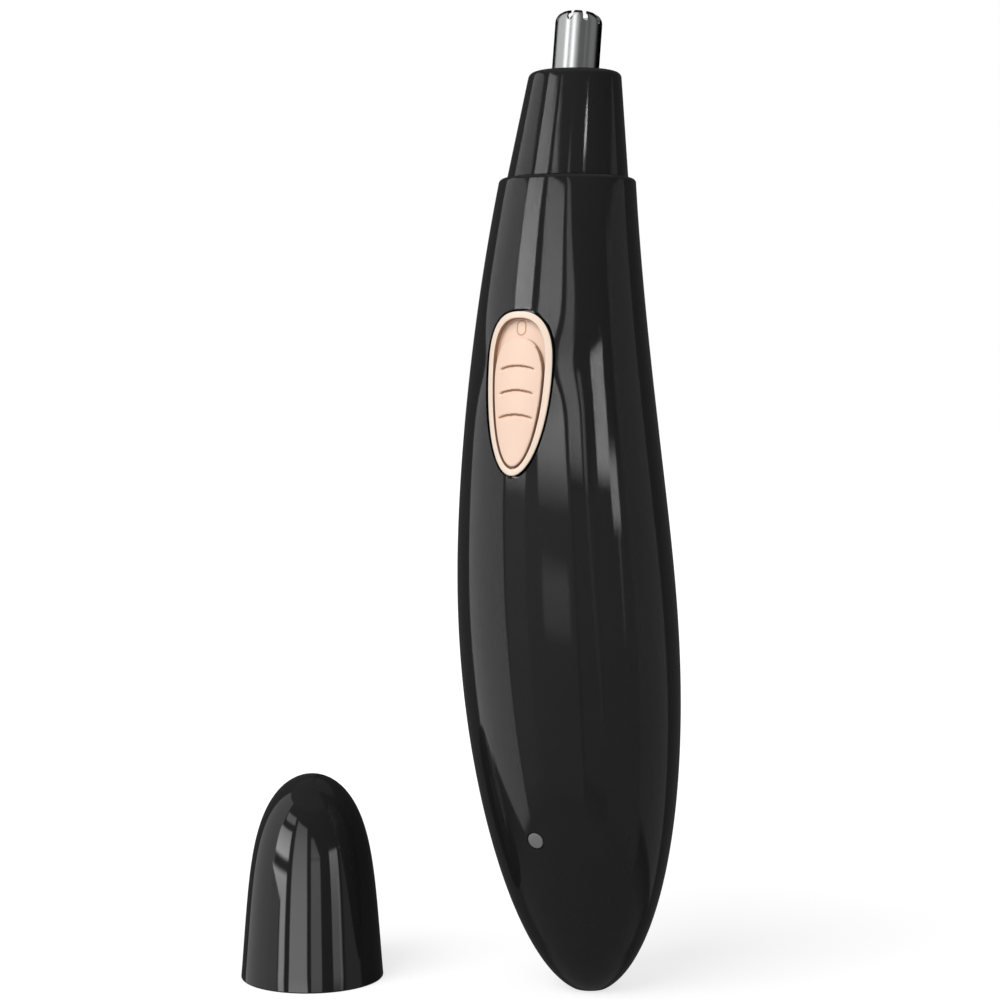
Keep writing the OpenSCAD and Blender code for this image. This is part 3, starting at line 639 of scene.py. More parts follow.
def plastic(name, tone, spread, rough, grain=1800.0, depth=0.02 * MM, strength=0.15, sink=0.0):
    """Moulded plastic, lacquer or sleeve: drifting tone, handling marks, sink marks and a fine grain."""
    tree, shader, vector = new_finish(name)
    feed(tree, shader["Base Color"], drifting(tree, vector, tone, scale=90.0, spread=spread))
    feed(tree, shader["Roughness"], handled(tree, vector, rough))
    sink_scale, sink_strength = 50.0, 1.0
    for scale, share, distance in ((sink_scale, sink_strength, sink), (grain, strength, depth)):
        if distance:
            waves = placed_group(tree, "Fine Grain", {"Vector": vector, "Scale": scale})
            add_bump(tree, waves["Height"], share, distance)


def metal(name, tone, rough):
    """Turned or drawn metal with fine lines across Z."""
    tree, shader, vector = new_finish(name)
    clean, lined = rough
    turning = placed_group(tree, "Turning Lines", {
        "Vector": vector, "Lines": 9000.0, "Clean": clean, "Lined": lined})
    feed(tree, shader["Metallic"], 1.0)
    feed(tree, shader["Base Color"], drifting(tree, vector, tone, scale=160.0, spread=0.05))
    feed(tree, shader["Roughness"], turning["Roughness"])
    add_bump(tree, turning["Height"], strength=0.06, distance=0.01 * MM)


def circuit_board(name, tone, spread, rough):
    """Solder mask with paler copper tracks under it."""
    tree, shader, vector = new_finish(name)
    tracks = add_node(tree, "ShaderNodeTexBrick", {
        "Vector": vector, "Scale": 260.0, "Mortar Size": 0.06, "Color1": (1, 1, 1, 1),
        "Color2": (0.9, 0.95, 0.9, 1), "Mortar": (1.7, 1.6, 1.3, 1)})
    mask = add_node(tree, "ShaderNodeMix", {
        "Factor": 1.0, "A": drifting(tree, vector, tone, scale=400.0, spread=spread),
        "B": tracks["Color"]}, data_type="RGBA", blend_type="MULTIPLY")
    feed(tree, shader["Base Color"], mask["Result"])
    feed(tree, shader["Roughness"], handled(tree, vector, rough))
    add_bump(tree, tracks["Fac"], strength=0.2, distance=0.03 * MM)


def add_swell(finish, matrix, size, height):
    """A moulded swell in a finish: a smooth hump around the origin of a matrix."""
    tree = FINISHES[finish].node_tree
    centred = add_node(tree, "ShaderNodeMapping", {
        "Vector": add_node(tree, "ShaderNodeTexCoord")["Object"], "Location": matrix.translation,
        "Rotation": matrix.to_euler(), "Scale": size}, vector_type="TEXTURE")["Vector"]
    square = add_node(tree, "ShaderNodeVectorMath", {0: centred, 1: centred}, operation="DOT_PRODUCT")
    hump = maths(tree, "POWER", math.e, maths(tree, "MULTIPLY", square["Value"], -1.0))
    add_bump(tree, hump, strength=1.0, distance=height)


# Finishes of the inner parts: tone, spread of the tone, and roughness when clean and when smudged
INNER_PLASTICS = {
    "dark_plastic": ((0.03, 0.03, 0.033), 0.12, (0.4, 0.55)),
    "frame_plastic": ((0.72, 0.71, 0.66), 0.05, (0.4, 0.55)),
    "led": ((0.85, 0.85, 0.82), 0.04, (0.12, 0.2)),
    "cell_sleeve": ((0.05, 0.18, 0.38), 0.08, (0.2, 0.32)),
    "lead": ((0.35, 0.04, 0.04), 0.1, (0.4, 0.52)),
}


def make_materials(finish):
    """Every finish, by the name of its material slot or band of faces."""
    make_groups()
    for name in ("gloss_black", "shell_black"):
        plastic(name, finish.gloss_black, spread=0.12, rough=(0.035, 0.075), grain=1400.0, depth=0.004 * MM,
                strength=0.05, sink=0.08 * MM)
    plastic("rose_gold", finish.rose_gold, spread=0.035, rough=(0.36, 0.46), grain=5200.0, depth=0.008 * MM,
            strength=0.12)
    # Paler gold of the bezel's rim: partly a glossier plating, partly painted highlight
    plastic("pale_gold", finish.pale_gold, spread=0.03, rough=(0.28, 0.38), grain=5200.0, depth=0.006 * MM,
            strength=0.1)
    # Painted shade for the switch's gaps, side walls and groove walls
    plastic("gap_shade", finish.gap_shade, spread=0.06, rough=(0.5, 0.6))
    plastic("off_mark", finish.mark, spread=0.1, rough=(0.45, 0.6))
    plastic("lens", finish.lens, spread=0.12, rough=(0.14, 0.24), grain=2600.0, depth=0.01 * MM, strength=0.1)
    metal("steel", finish.steel, rough=(0.14, 0.26))
    metal("contact", (0.78, 0.58, 0.24), rough=(0.2, 0.34))
    circuit_board("board", (0.03, 0.16, 0.07), spread=0.12, rough=(0.25, 0.4))
    for name, values in INNER_PLASTICS.items():
        plastic(name, *values)


def dress(name, mesh, body, slot, nodes, *paints):
    """Ties a piece to the frame, with the finish of its slot or one for each band of its faces."""
    piece = object_of(name, mesh)
    # A cut leaves the faces of its cutters without a finish, so one slot takes them all
    if mesh.materials:
        mesh.materials.clear()
    for paint in paints or (slot,):
        mesh.materials.append(FINISHES[paint])
    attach(piece, body)
    if nodes:
        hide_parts(*nodes)


# Pieces


def shell_stations(body):
    """Closed row of stations: up the outside, over the rim and down the inside to the inlet."""
    tail_steps, upper_steps, rim_steps, inner_steps, floor_steps = 72, 64, 12, 16, 24
    tip, inlet_r = tip_z(body), body.inlet_d / 2
    inner_h = body.tail_h - body.tip_wall
    floor = -inner_h * math.sqrt(1 - (inlet_r / (body.grip_d / 2 - body.wall)) ** 2)
    start, inner_start = math.asin(tip / body.tail_h), math.asin(floor / inner_h)
    up = [body.tail_h * math.sin(start * (1 - i / tail_steps)) for i in range(tail_steps + 1)]
    up += [(body.upper_h - body.rim_round) * i / upper_steps for i in range(1, upper_steps + 1)]
    row = [(body_r(body, z), z) for z in up]
    for i in range(1, rim_steps + 1):
        a = math.pi / 2 * i / rim_steps
        z = body.upper_h - body.rim_round * (1 - math.sin(a))
        row.append((body_r(body, z) - body.rim_round * (1 - math.cos(a)), z))
    down = [body.upper_h * (1 - i / inner_steps) for i in range(inner_steps + 1)]
    down += [inner_h * math.sin(inner_start * i / floor_steps) for i in range(1, floor_steps + 1)]
    row += [(cavity_r(body, z), z) for z in down] + [(inlet_r, tip), row[0]]
    return [(g, spine_y(body, z), z) for g, z in row]


def half_shell(body, finish, start):
    """Mesh of one shell from an angle, its parting faces closed."""
    slit, segments = body.seam_gap / body.grip_d, 96
    mesh = lofted(shell_stations(body), segments, finish, start + slit, math.pi - 2 * slit)
    with edited(mesh) as bm:
        bmesh.ops.remove_doubles(bm, verts=bm.verts, dist=MERGE)
        bmesh.ops.holes_fill(bm, edges=[e for e in bm.edges if e.is_boundary], sides=0)
    return tidy_mesh(mesh)


class TRIMMER_OT_shells(bpy.types.Operator):
    """Makes the front and rear body shells with the openings for the switch and the charge light"""
    bl_idname = "trimmer.shells"
    bl_label = "Body Shells"

    def execute(self, context):
        body, switch = context.scene.trimmer_body, context.scene.trimmer_switch
        seat, outside, inside, lens_gap = switch_matrix(body, switch), 2 * MM, 4 * MM, 0.15 * MM
        swell_size, swell_h = (5.5 * MM, 8 * MM, 5 * MM), 0.95 * MM
        hole_r = body.lens_d / 2 + lens_gap
        hole = turned([(0, -inside), (hole_r, -inside), (hole_r, outside), (0, outside)], segments=96,
                      finish="shell_black")
        hole.transform(lens_matrix(body))
        opening = prism("switch_opening", egg(switch, -switch.gap), (-outside, inside), (0, 2, 1))
        opening.transform(seat)
        front = cut(half_shell(body, "shell_black", -math.pi / 2), [opening, tidy_mesh(hole)])
        add_swell("shell_black", seat, swell_size, swell_h)
        rear = half_shell(body, "gloss_black", math.pi / 2)
        dress("front_shell_skin", front, "handle", "gloss_black", ["front_shell"], "shell_black")
        dress("rear_shell_skin", rear, "handle", "gloss_black", ["rear_shell"])
        return {"FINISHED"}


class TRIMMER_OT_collar(bpy.types.Operator):
    """Makes the tapered collar with its plug"""
    bl_idname = "trimmer.collar"
    bl_label = "Head Collar"

    def execute(self, context):
        body, head = context.scene.trimmer_body, context.scene.trimmer_head
        lean, rim_y = math.tan(head.tilt), spine_y(body, body.upper_h)
        base_r, bore_r, plug_r, top = head.base_d / 2, head.bore_d / 2, head.spigot_d / 2, head.collar_h
        tube_gap, edge, under = 0.06 * MM, 0.1 * MM, top - head.top_t
        hole = head.tube_d / 2 + tube_gap
        high = top - head.collar_round
        taper = (base_r - head.top_d / 2) / high
        shoulder = fillet((head.top_d / 2 - head.collar_round, high), head.collar_round,
                          math.degrees(math.atan(taper)), 90, steps=12)
        foot, cone_steps = Vector((base_r - taper * edge, edge)), 24
        profile = [(bore_r, 0.0), (base_r - edge, 0.0)]
        profile += [tuple(foot.lerp(shoulder[0], i / cone_steps)) for i in range(cone_steps)] + shoulder
        profile += [(hole + edge, top), (hole, top - edge), (hole, under), (bore_r, under), (bore_r, 0.0)]
        skin = lofted([(g, rim_y + lean * h, body.upper_h + h) for g, h in profile], segments=128,
                      finish="gloss_black")
        plug_top, chamfer, end = 0.6 * MM, 0.4 * MM, -head.spigot_h
        plug = turned([(bore_r, plug_top), (plug_r, plug_top), (plug_r, end + chamfer),
                       (plug_r - chamfer, end), (bore_r, end), (bore_r, plug_top)], segments=96,
                      finish="gloss_black")
        plug.transform(head_matrix(body, head))
        collar = tidy_mesh(joined("head_collar_skin", [skin, plug]))
        dress("head_collar_skin", collar, "cutter_head", "gloss_black", ["head_collar"])
        return {"FINISHED"}


class TRIMMER_OT_cutter(bpy.types.Operator):
    """Makes the slotted cutter tube and the blades inside it"""
    bl_idname = "trimmer.cutter"
    bl_label = "Cutter"

    def execute(self, context):
        body, head = context.scene.trimmer_body, context.scene.trimmer_head
        foot, tip = collar_top(head) - head.top_t, collar_top(head) + head.tube_reach
        r, bore_r, foot_r = head.tube_d / 2, head.tube_d / 2 - head.tube_wall, head.foot_d / 2
        under, knee = foot - head.foot_t, (r - head.tube_round, tip - head.tube_round)
        outer_steps, inner_steps, round_steps = 16, 8, 16
        rise = knee[1] - foot
        profile = [(bore_r, under), (foot_r, under), (foot_r, foot), (r, foot)]
        profile += [(r, foot + rise * i / outer_steps) for i in range(1, outer_steps)]
        profile += fillet(knee, head.tube_round, 0, 90, round_steps)
        profile += fillet(knee, head.tube_round - head.tube_wall, 90, 0, round_steps)
        profile += [(bore_r, foot + rise * i / inner_steps) for i in reversed(range(1, inner_steps))]
        profile.append(profile[0])
        slots = ringed(self.slot_form(head, tip), head.slot_count, "steel", head.slot_phase)
        tube = cut(tidy_mesh(turned(profile, segments=144, finish="steel")), [tidy_mesh(slots)])
        blades = self.blades(head, tip)
        for mesh in (tube, blades):
            mesh.transform(head_matrix(body, head))
        dress("cutter_tube_skin", tube, "cutter_head", "steel", ["cutter_tube"])
        dress("cutter_blades", tidy_mesh(blades, BLADE_CREASE), "blade", "steel", ["cutter_blade"])
        return {"FINISHED"}

    @staticmethod
    def slot_form(head, tip):
        """One slot along +X: straight walls with a round bottom."""
        half, inside, over = head.slot_w / 2, 0.8 * MM, tip + MM
        bottom = fillet((0.0, tip - head.slot_depth + half), half, 180, 360, steps=12)
        return prism("slot_form", [(half, over), (-half, over)] + bottom, (inside, head.tube_d), (2, 0, 1))

    @staticmethod
    def blades(head, tip):
        """Plates with ground edges in a ring around their hub."""
        gap, ground, sunk, edge_share, corner_share = 0.3 * MM, 0.12 * MM, 0.4 * MM, 0.3, 0.4
        half, base, top = head.blade_t / 2, tip - head.blade_h - sunk, tip - head.tube_wall - gap
        reach, crown = head.tube_d / 2 - head.tube_wall - gap, head.tube_d / 2 - head.tube_round
        shoulder, corner = top - (reach - crown), ground * corner_share
        outer = [(0, base), (reach, base), (reach, shoulder), (crown, top), (0, top)]
        inner = [(0, base + ground), (reach - ground, base + ground), (reach - ground, shoulder - corner),
                 (crown - corner, top - ground), (0, top - ground)]
        points = [(x, edge_share * half, z) for x, z in outer] + [(x, half, z) for x, z in inner]
        points += [(x, -y, z) for x, y, z in points]
        n = len(outer)
        faces = [tuple(range(n, 2 * n)), tuple(reversed(range(3 * n, 4 * n)))]
        for i, j in zip(range(n), [*range(1, n), 0]):
            faces += [(i, j, n + j, n + i), (2 * n + j, 2 * n + i, 3 * n + i, 3 * n + j),
                      (j, i, 2 * n + i, 2 * n + j)]
        plate = tidy_mesh(mesh_of("blade_plate", points, faces), BLADE_CREASE)
        hub_step, hub_h, edge = 0.1 * MM, 3 * MM, 0.15 * MM
        hub_r, hub_top = head.stem_d / 2 - hub_step, base + hub_h
        hub = turned([(0, base), (hub_r, base), (hub_r, hub_top - edge), (hub_r - edge, hub_top),
                      (0, hub_top)], segments=48, finish="steel")
        return joined("cutter_blades", [ringed(plate, head.blade_count, "steel"), hub])


def on_girth(points, girth_r, matrix):
    """Points (x, z, height) laid on the body's girth around the switch."""
    return [matrix @ Vector((x, girth_r - math.sqrt((girth_r + h) ** 2 - x * x), z)) for x, z, h in points]


class TRIMMER_OT_switch(bpy.types.Operator):
    """Makes the bezel, the grooved slider and the ring mark for off"""
    bl_idname = "trimmer.switch"
    bl_label = "Slide Switch"

    def execute(self, context):
        body, switch = context.scene.trimmer_body, context.scene.trimmer_switch
        seat = (body_r(body, body.upper_h - switch.drop), switch_matrix(body, switch))
        dress("switch_bezel_skin", self.bezel(switch, *seat), "handle", "rose_gold", ["switch_bezel"],
              "pale_gold", "rose_gold", "gap_shade", "gloss_black")
        dress("switch_slider_skin", self.slider(switch, *seat), "switch", "rose_gold", ["switch_slider"],
              "rose_gold", "gap_shade")
        dress("off_mark", self.mark(switch, *seat), "handle", "rose_gold", [], "off_mark")
        return {"FINISHED"}

    @staticmethod
    def bezel(switch, girth_r, matrix):
        """Rounded rim around a sunken well, as rings from the outside to the middle."""
        # Bands of faces: the rim in pale gold, partly painted highlight; the well floor in plain rose gold;
        # the inner walls in painted shade; the outer wall and skirt in gloss black, which shows as a dark
        # line in the gap around the bezel
        rim, plain, shaded, black_wall = range(4)
        floor, skirt, skirt_w, well_steps = switch.proud - switch.well, -1.5 * MM, 0.6 * MM, 10
        outer, inner, root, (lip_w, lip_h) = 0.18 * MM, 0.14 * MM, 0.12 * MM, (0.3 * MM, 0.2 * MM)
        profile = [(skirt_w, skirt), (-lip_w, skirt), (-lip_w, skirt + lip_h), (0.0, skirt + lip_h)]
        profile += [(outer - g, h) for g, h in fillet((0.0, switch.proud - outer), outer, 0, 90, steps=8)]
        profile += fillet((switch.rim - inner, switch.proud - inner), inner, 90, 0, steps=8)
        profile += fillet((switch.rim + root, floor + root), root, 180, 270, steps=4)
        start, step = switch.rim + root, (switch.width / 2 - switch.rim - root) / well_steps
        profile += [(start + step * i, floor) for i in range(1, well_steps + 1)]
        points = [(x, z, h) for inset, h in profile for x, z in egg(switch, inset)]
        bands = []
        for (inset, h), (next_inset, next_h) in zip(profile, profile[1:]):
            middle = (h + next_h) / 2
            if inset + next_inset < switch.rim:
                bands.append(black_wall if middle < switch.proud - outer / 2 else rim)
            elif middle > switch.proud - inner / 2:
                bands.append(rim)
            else:
                bands.append(shaded if middle > floor + root / 2 else plain)
        mesh = mesh_of("switch_bezel_skin", on_girth(points, girth_r, matrix),
                       ring_faces(len(profile), SWITCH_STEPS))
        for face in mesh.polygons:
            face.material_index = bands[face.index // SWITCH_STEPS]
        return tidy_mesh(mesh, SWITCH_CREASE, SWITCH_MERGE)

    @staticmethod
    def slider(switch, girth_r, matrix):
        """Thumb slider: a grid of heights over its outline, with rounded edges and arched grooves."""
        inset, rows, columns = switch.rim + switch.slider_gap, 300, 72
        wide, up, down = switch.width / 2 - inset, switch.up - inset, switch.down - inset

        def half_width(z):
            reach = np.where(z >= 0, up, down)
            power = np.where(z >= 0, switch.top_pow, switch.bottom_pow)
            return wide * np.maximum(0.0, 1 - np.abs(np.clip(z / reach, -1, 1)) ** power) ** (1 / power)
        low, high = -down, up - switch.travel
        z = (low + high) / 2 - (high - low) / 2 * np.cos(np.linspace(0, math.pi, rows))
        width = np.minimum(half_width(z), half_width(z + switch.travel))
        across = np.sin(np.linspace(-math.pi / 2, math.pi / 2, columns))
        flat = np.column_stack([np.outer(width, across).ravel(), np.repeat(z, columns)])
        border = np.column_stack([np.concatenate([width, -width[::-1]]), np.concatenate([z, z[::-1]])])
        away = np.full(len(flat), 1.0)
        for a, b in zip(border, np.roll(border, -1, axis=0)):
            run = b - a
            share = np.clip(((flat - a) @ run) / max(run @ run, 1e-18), 0, 1)
            away = np.minimum(away, np.linalg.norm(flat - (a + share[:, None] * run), axis=1))
        edge, shaded_from, bare_end = 0.3 * MM, 0.72, 1.2 * MM
        dip = np.clip(edge - away, 0, edge)
        height = switch.proud - (edge - np.sqrt(edge * edge - dip * dip))
        # Painted shade: the lower part of the slider's rounded edge and the upper wall of each groove take
        # the dark brown gap_shade finish
        shade = (dip > shaded_from * edge) & (flat[:, 1] < high - bare_end)
        arc_r, arc_half, run_out, first, shade_w = 8 * MM, 2.8 * MM, 0.5 * MM, -0.2 * MM, 0.2 * MM
        for i in range(switch.groove_count):
            centre = first - i * switch.groove_pitch - arc_r
            reach = np.hypot(flat[:, 0], flat[:, 1] - centre) - arc_r
            deep = np.clip(1 - np.abs(reach) / (switch.groove_w / 2), 0, 1)
            along = np.clip((arc_half - np.abs(flat[:, 0])) / run_out, 0, 1) * (flat[:, 1] > centre)
            shade |= (reach > 0) & (reach < shade_w * along)
            height -= switch.groove_depth * (deep * deep * (3 - 2 * deep)) * along
        lift = 0.12 * MM
        base = np.full(len(flat), switch.proud - switch.well + lift)
        points = np.concatenate([np.column_stack([flat, height]), np.column_stack([flat, base])]).tolist()
        size, faces = rows * columns, []
        for i in range(rows - 1):
            for a in range(i * columns, (i + 1) * columns - 1):
                quad = (a, a + 1, a + columns + 1, a + columns)
                faces += [quad, tuple(size + corner for corner in reversed(quad))]
            for a, b in ((i * columns, (i + 1) * columns), ((i + 2) * columns - 1, (i + 1) * columns - 1)):
                faces.append((a, b, size + b, size + a))
        mesh = mesh_of("switch_slider_skin", on_girth(points, girth_r, matrix), faces)
        # The slider's sides and underside all take the painted shade
        shade, mostly = np.concatenate([shade, np.full(size, True)]), 0.4
        for face in mesh.polygons:
            face.material_index = int(shade[list(face.vertices)].mean() > mostly)
        return tidy_mesh(mesh, SWITCH_CREASE, SWITCH_MERGE)

    @staticmethod
    def mark(switch, girth_r, matrix):
        """Upright ring on the well's floor above the slider."""
        half_w, half_h, line, centre, count = 0.66 * MM, 0.98 * MM, 0.1 * MM, 5.2 * MM, 64
        floor, proud, sunk, points = switch.proud - switch.well, 0.02 * MM, 0.05 * MM, []
        high, low = floor + proud, floor - sunk
        slim, full = half_w - line, half_w + line
        for r, h in ((slim, low), (slim, high), (full, high), (full, low)):
            for a in (2 * math.pi * i / count for i in range(count)):
                up = r * math.sin(a) + math.copysign(half_h - half_w, math.sin(a))
                points.append((r * math.cos(a), centre + up, h))
        return tidy_mesh(mesh_of("off_mark", on_girth(points, girth_r, matrix), ring_faces(4, count, True)))


class TRIMMER_OT_light(bpy.types.Operator):
    """Makes the smoky lens of the charge light"""
    bl_idname = "trimmer.light"
    bl_label = "Charge Light"

    def execute(self, context):
        body = context.scene.trimmer_body
        r, edge, crown, deep, steps = body.lens_d / 2, 0.08 * MM, 0.05 * MM, 2.35 * MM, 12
        profile = [(0, -deep), (r, -deep)] + fillet((r - edge, -edge), edge, 0, 80, steps=6)
        rim_r, rim_h = profile[-1]
        for share in (1 - i / steps for i in range(1, steps + 1)):
            profile.append((rim_r * share, rim_h + (crown - rim_h) * (1 - share * share)))
        mesh = turned(profile, segments=72, finish="lens")
        mesh.transform(lens_matrix(body))
        dress("charge_light_lens", tidy_mesh(mesh), "handle", "lens", ["indicator_lens"])
        return {"FINISHED"}


class TRIMMER_OT_cap(bpy.types.Operator):
    """Makes the bullet-shaped cap with the seat and grip ribs in its mouth"""
    bl_idname = "trimmer.cap"
    bl_label = "Cap"

    def execute(self, context):
        cap = context.scene.trimmer_cap
        mouth, seat, edge, top = cap.mouth_d / 2, cap.seat_d / 2, 0.2 * MM, cap.seat_h
        inner, above = mouth - cap.wall, mouth - cap.wall - math.tan(cap.lean) * top
        profile = [point for point in reversed(self.bullet(cap, inner, cap.height - cap.wall))
                   if point[1] > top + edge]
        profile += [(above, top), (seat + edge, top), (seat, top - edge), (seat, edge), (seat + edge, 0)]
        profile += fillet((mouth - edge, edge), edge, -90, 0, steps=6)
        profile += [point for point in self.bullet(cap, mouth, cap.height) if point[1] > 2 * edge]
        shell = tidy_mesh(turned(profile, segments=160, finish="gloss_black"))
        half, reach, sunk, short = 0.4 * MM, 0.2 * MM, 0.2 * MM, 0.15 * MM
        flank, flank_half = seat - 0.6 * reach, 0.7 * half
        outline = [(seat + sunk, -half), (flank, -flank_half), (seat - reach, 0), (flank, flank_half),
                   (seat + sunk, half)]
        rib = prism("rib", outline, (short, top - short), (0, 1, 2))
        mesh = joined("cap_skin", [shell, ringed(rib, cap.rib_count, "gloss_black")])
        mesh.transform(Matrix.Translation(cap.place))
        dress("cap_skin", tidy_mesh(mesh), "cap", "gloss_black", ["cap"])
        return {"FINISHED"}

    @staticmethod
    def bullet(cap, mouth, height):
        """Points (girth, height) of a bullet profile from its mouth to its tip, closest at the mouth."""
        steps, crowding, points = 64, 1.7, []
        for angle in (math.pi / 2 * (i / steps) ** crowding for i in range(steps + 1)):
            z = height * math.sin(angle) ** (2 / cap.blunt)
            points.append(((mouth - math.tan(cap.lean) * z) * math.cos(angle), z))
        return points


class TRIMMER_OT_inner_parts(bpy.types.Operator):
    """Gives the CAD nodes that stay their finishes"""
    bl_idname = "trimmer.inner_parts"
    bl_label = "Inner Parts"

    def execute(self, context):
        slots = {part["node"]: part["material_slot"] for part in frame["record"]["subparts"]}
        for name, node in frame["nodes"].items():
            node.data.materials.clear()
            node.data.materials.append(FINISHES[slots[name]])
        return {"FINISHED"}


# Stage


# Lit panels of the reflection tents: place, then the inputs that PANEL_INPUTS names. Left and right count
# from the camera, low and high from level, in degrees. The sides lean per degree of rise, the high edge per
# degree around, and a row ends where no lean is left.
PANEL_INPUTS = ("Left", "Right", "Low", "High", "Soft", "Low Soft", "Level", "High Level", "Left Lean",
                "Right Lean", "High Lean")
BODY_PANELS = (
    ("surround", -179, 179, -60, 90, 2, 2, 0.06, 0.06),
    ("top", -179, 179, 46, 95, 6, 6, 0.15, 0.15),
    ("base", -125, 118, -95, -34, 9, 9, 0.16, 0.17),
    ("base ring", -185, 185, -95, -46, 9, 9, 0.17, 0.17),
    ("front fill", -69, 8, -40, 6, 3, 3, 0.2, 0.24),
    ("left fill", -68, -43, -37, 2, 1.5, 2, 0.24, 0.34),
    ("side panel", -123, -69, -24, 40, 1.5, 1.5, 0.92, 0.86, -0.1, -0.06, -0.2),
    ("side panel foot", -82, -69, -38, -22, 1.5, 1.5, 0.86, 0.88, -1.9),
    ("left strip", -68, -43, 5, 39, 1.2, 6, 6.6, 2.2, -0.2, -0.06),
    ("front strip", -29, 3.5, 4, 38.8, 1.2, 6, 3.4, 1.6, -0.22, -0.28, -0.22),
    ("front glow", -27, 2, -17, -6, 3.5, 3.5, 0.5, 0.75),
    ("right strip", 7, 21, 5.5, 20, 1.2, 3, 2.1, 1.5, 0, -0.1),
    ("right strip top", 7, 19, 19, 38, 1.2, 1.2, 1.4, 0.9, -0.5, -0.95),
    ("right strip edge", 23, 26.5, 3, 13, 1, 3, 0.9, 1.1),
    ("right line", 29, 33, -30, 3, 1.2, 3, 0.22, 0.34, -0.2, -0.2),
    ("right fill", 8, 34, -36, 4, 3, 3, 0.18, 0.18),
    ("lamp strip", 38.5, 54, 5, 15.5, 1, 1.5, 3.7, 3.3),
    ("lamp strip side", 53, 62.5, 1, 7, 1, 1.5, 2.9, 2.9),
    ("lamp strip tail", 57.5, 60.5, -13, 2, 1, 4, 0.3, 0.7),
    ("corner fill", 30, 82, -44, 8, 6, 9, 0.19, 0.18),
    ("far panel", 77, 126, -30, 22, 1.5, 1.5, 0.23, 0.24, -0.22, -0.35),
)
COLLAR_PANELS = (
    ("high lamp", 30, 35.5, 34.42, 35.05, 0.8, 0.75, 17, 17),
)
CAP_PANELS = (
    ("surround", -179, 60, -60, 90, 4, 2, 0.05, 0.07),
    ("right shade", 60, 179, -60, 90, 4, 2, 0.035, 0.03),
    ("top", -179, 179, 46, 95, 6, 6, 0.14, 0.12),
    ("side panel", -136, -77, -24, 47, 1.5, 1.5, 0.66, 0.95, 0.4, 0.15),
    ("side panel low", -136, -56, -26, -2, 1.5, 1.5, 0.64, 0.7, 0.4),
    ("side panel bend", -120, -57, -3, 3, 1.5, 1.5, 0.7, 0.74, 0, -4.2),
    ("left strip low", -55, -44, -4, 2.2, 1.2, 1.2, 4.2, 5.4, -3.7),
    ("left strip edge", -54, -44, -26, -1, 1.8, 1.2, 3.6, 4.6),
    ("left strip", -74, -43, 7, 22, 1.2, 1.2, 6.6, 3.4, 0.1, 0.05),
    ("left strip top", -66, -39, 28, 35.5, 1.2, 1.2, 2.0, 1.8),
    ("front strip", -36, -4, -24, 34, 1.2, 1.2, 3.6, 1.2, 0.06, -0.07, -0.2),
    ("right strip", 1.5, 19, -24, 9, 1.2, 1.2, 1.2, 1.5),
    ("right strip top", 1.5, 20, 9, 21, 1.2, 1.2, 1.4, 0.9, 0, -1.1),
    ("lamp strip", 38, 55.5, -24, 11.5, 1.2, 1.2, 0.2, 2.7),
    ("lamp strip edge", 50.5, 54, -24, 2, 0.8, 2, 1.0, 2.4),
    ("far panel", 60, 94, -24, 28, 4, 2, 0.28, 0.25, 0, -0.25),
)
STEEL_PANELS = (
    ("side panel", -124, -40, -95, 95, 7, 5, 0.58, 0.58),
    ("left strip", -67, -46, -95, 95, 4, 5, 1.5, 1.5),
    ("front strip edge", -40, -6, -95, 95, 4, 5, 0.7, 0.7),
    ("front strip", -32, -13, -95, 95, 4, 5, 1.45, 1.45),
    ("front strip side", -10, 5, -95, 95, 7, 5, 0.42, 0.42),
    ("right fill", 0, 103, -95, 95, 8, 5, 0.12, 0.12),
    ("right line", 38, 47, -95, 95, 4, 5, 0.22, 0.22),
    ("far panel", 60, 96, -95, 95, 6, 5, 0.185, 0.185),
)


def ray_switch(tree, *names):
    """1 for the named kinds of ray, else 0."""
    path = add_node(tree, "ShaderNodeLightPath")
    value = path[names[0]]
    for name in names[1:]:
        value = maths(tree, "MAXIMUM", value, path[name])
    return value


def stage_object(name, mesh, finish):
    """A stage object with a new empty material, and the tree of that material."""
    material = bpy.data.materials.new(finish)
    material.use_nodes = True
    material.node_tree.nodes.clear()
    mesh.materials.append(material)
    piece = object_of(name, mesh)
    return piece, material.node_tree


def glow_over(tree, strength, under):
    """Gives a material a white glow on top of another shader."""
    glow = add_node(tree, "ShaderNodeEmission", {"Strength": strength})["Emission"]
    both = add_node(tree, "ShaderNodeAddShader", {0: glow, 1: under})["Shader"]
    add_node(tree, "ShaderNodeOutputMaterial", {"Surface": both})


def lit_panel_tree():
    """Level of one soft-edged panel of a tent, by angle around and rise in degrees."""
    labels = ("Angle", "Rise") + PANEL_INPUTS
    tree, given = node_group("Shader", "Lit Panel", dict.fromkeys(labels, "Float"), {"Level": "Float"})
    angle, rise = given["Angle"], given["Rise"]
    above, past = maths(tree, "SUBTRACT", rise, given["Low"]), maths(tree, "SUBTRACT", angle, given["Left"])
    left = maths(tree, "MULTIPLY_ADD", given["Left Lean"], above, given["Left"])
    right = maths(tree, "MULTIPLY_ADD", given["Right Lean"], above, given["Right"])
    high = maths(tree, "MULTIPLY_ADD", given["High Lean"], past, given["High"])
    value = map_range(tree, rise, given["Low"], given["High"], given["Level"], given["High Level"])
    for depth, soft in ((maths(tree, "SUBTRACT", angle, left), given["Soft"]),
                        (maths(tree, "SUBTRACT", right, angle), given["Soft"]), (above, given["Low Soft"]),
                        (maths(tree, "SUBTRACT", high, rise), given["Soft"])):
        low = maths(tree, "MULTIPLY", soft, -1.0)
        fade = map_range(tree, depth, low, soft, interpolation_type="SMOOTHSTEP")
        value = maths(tree, "MULTIPLY", value, fade)
    add_node(tree, "NodeGroupOutput", {"Level": value})


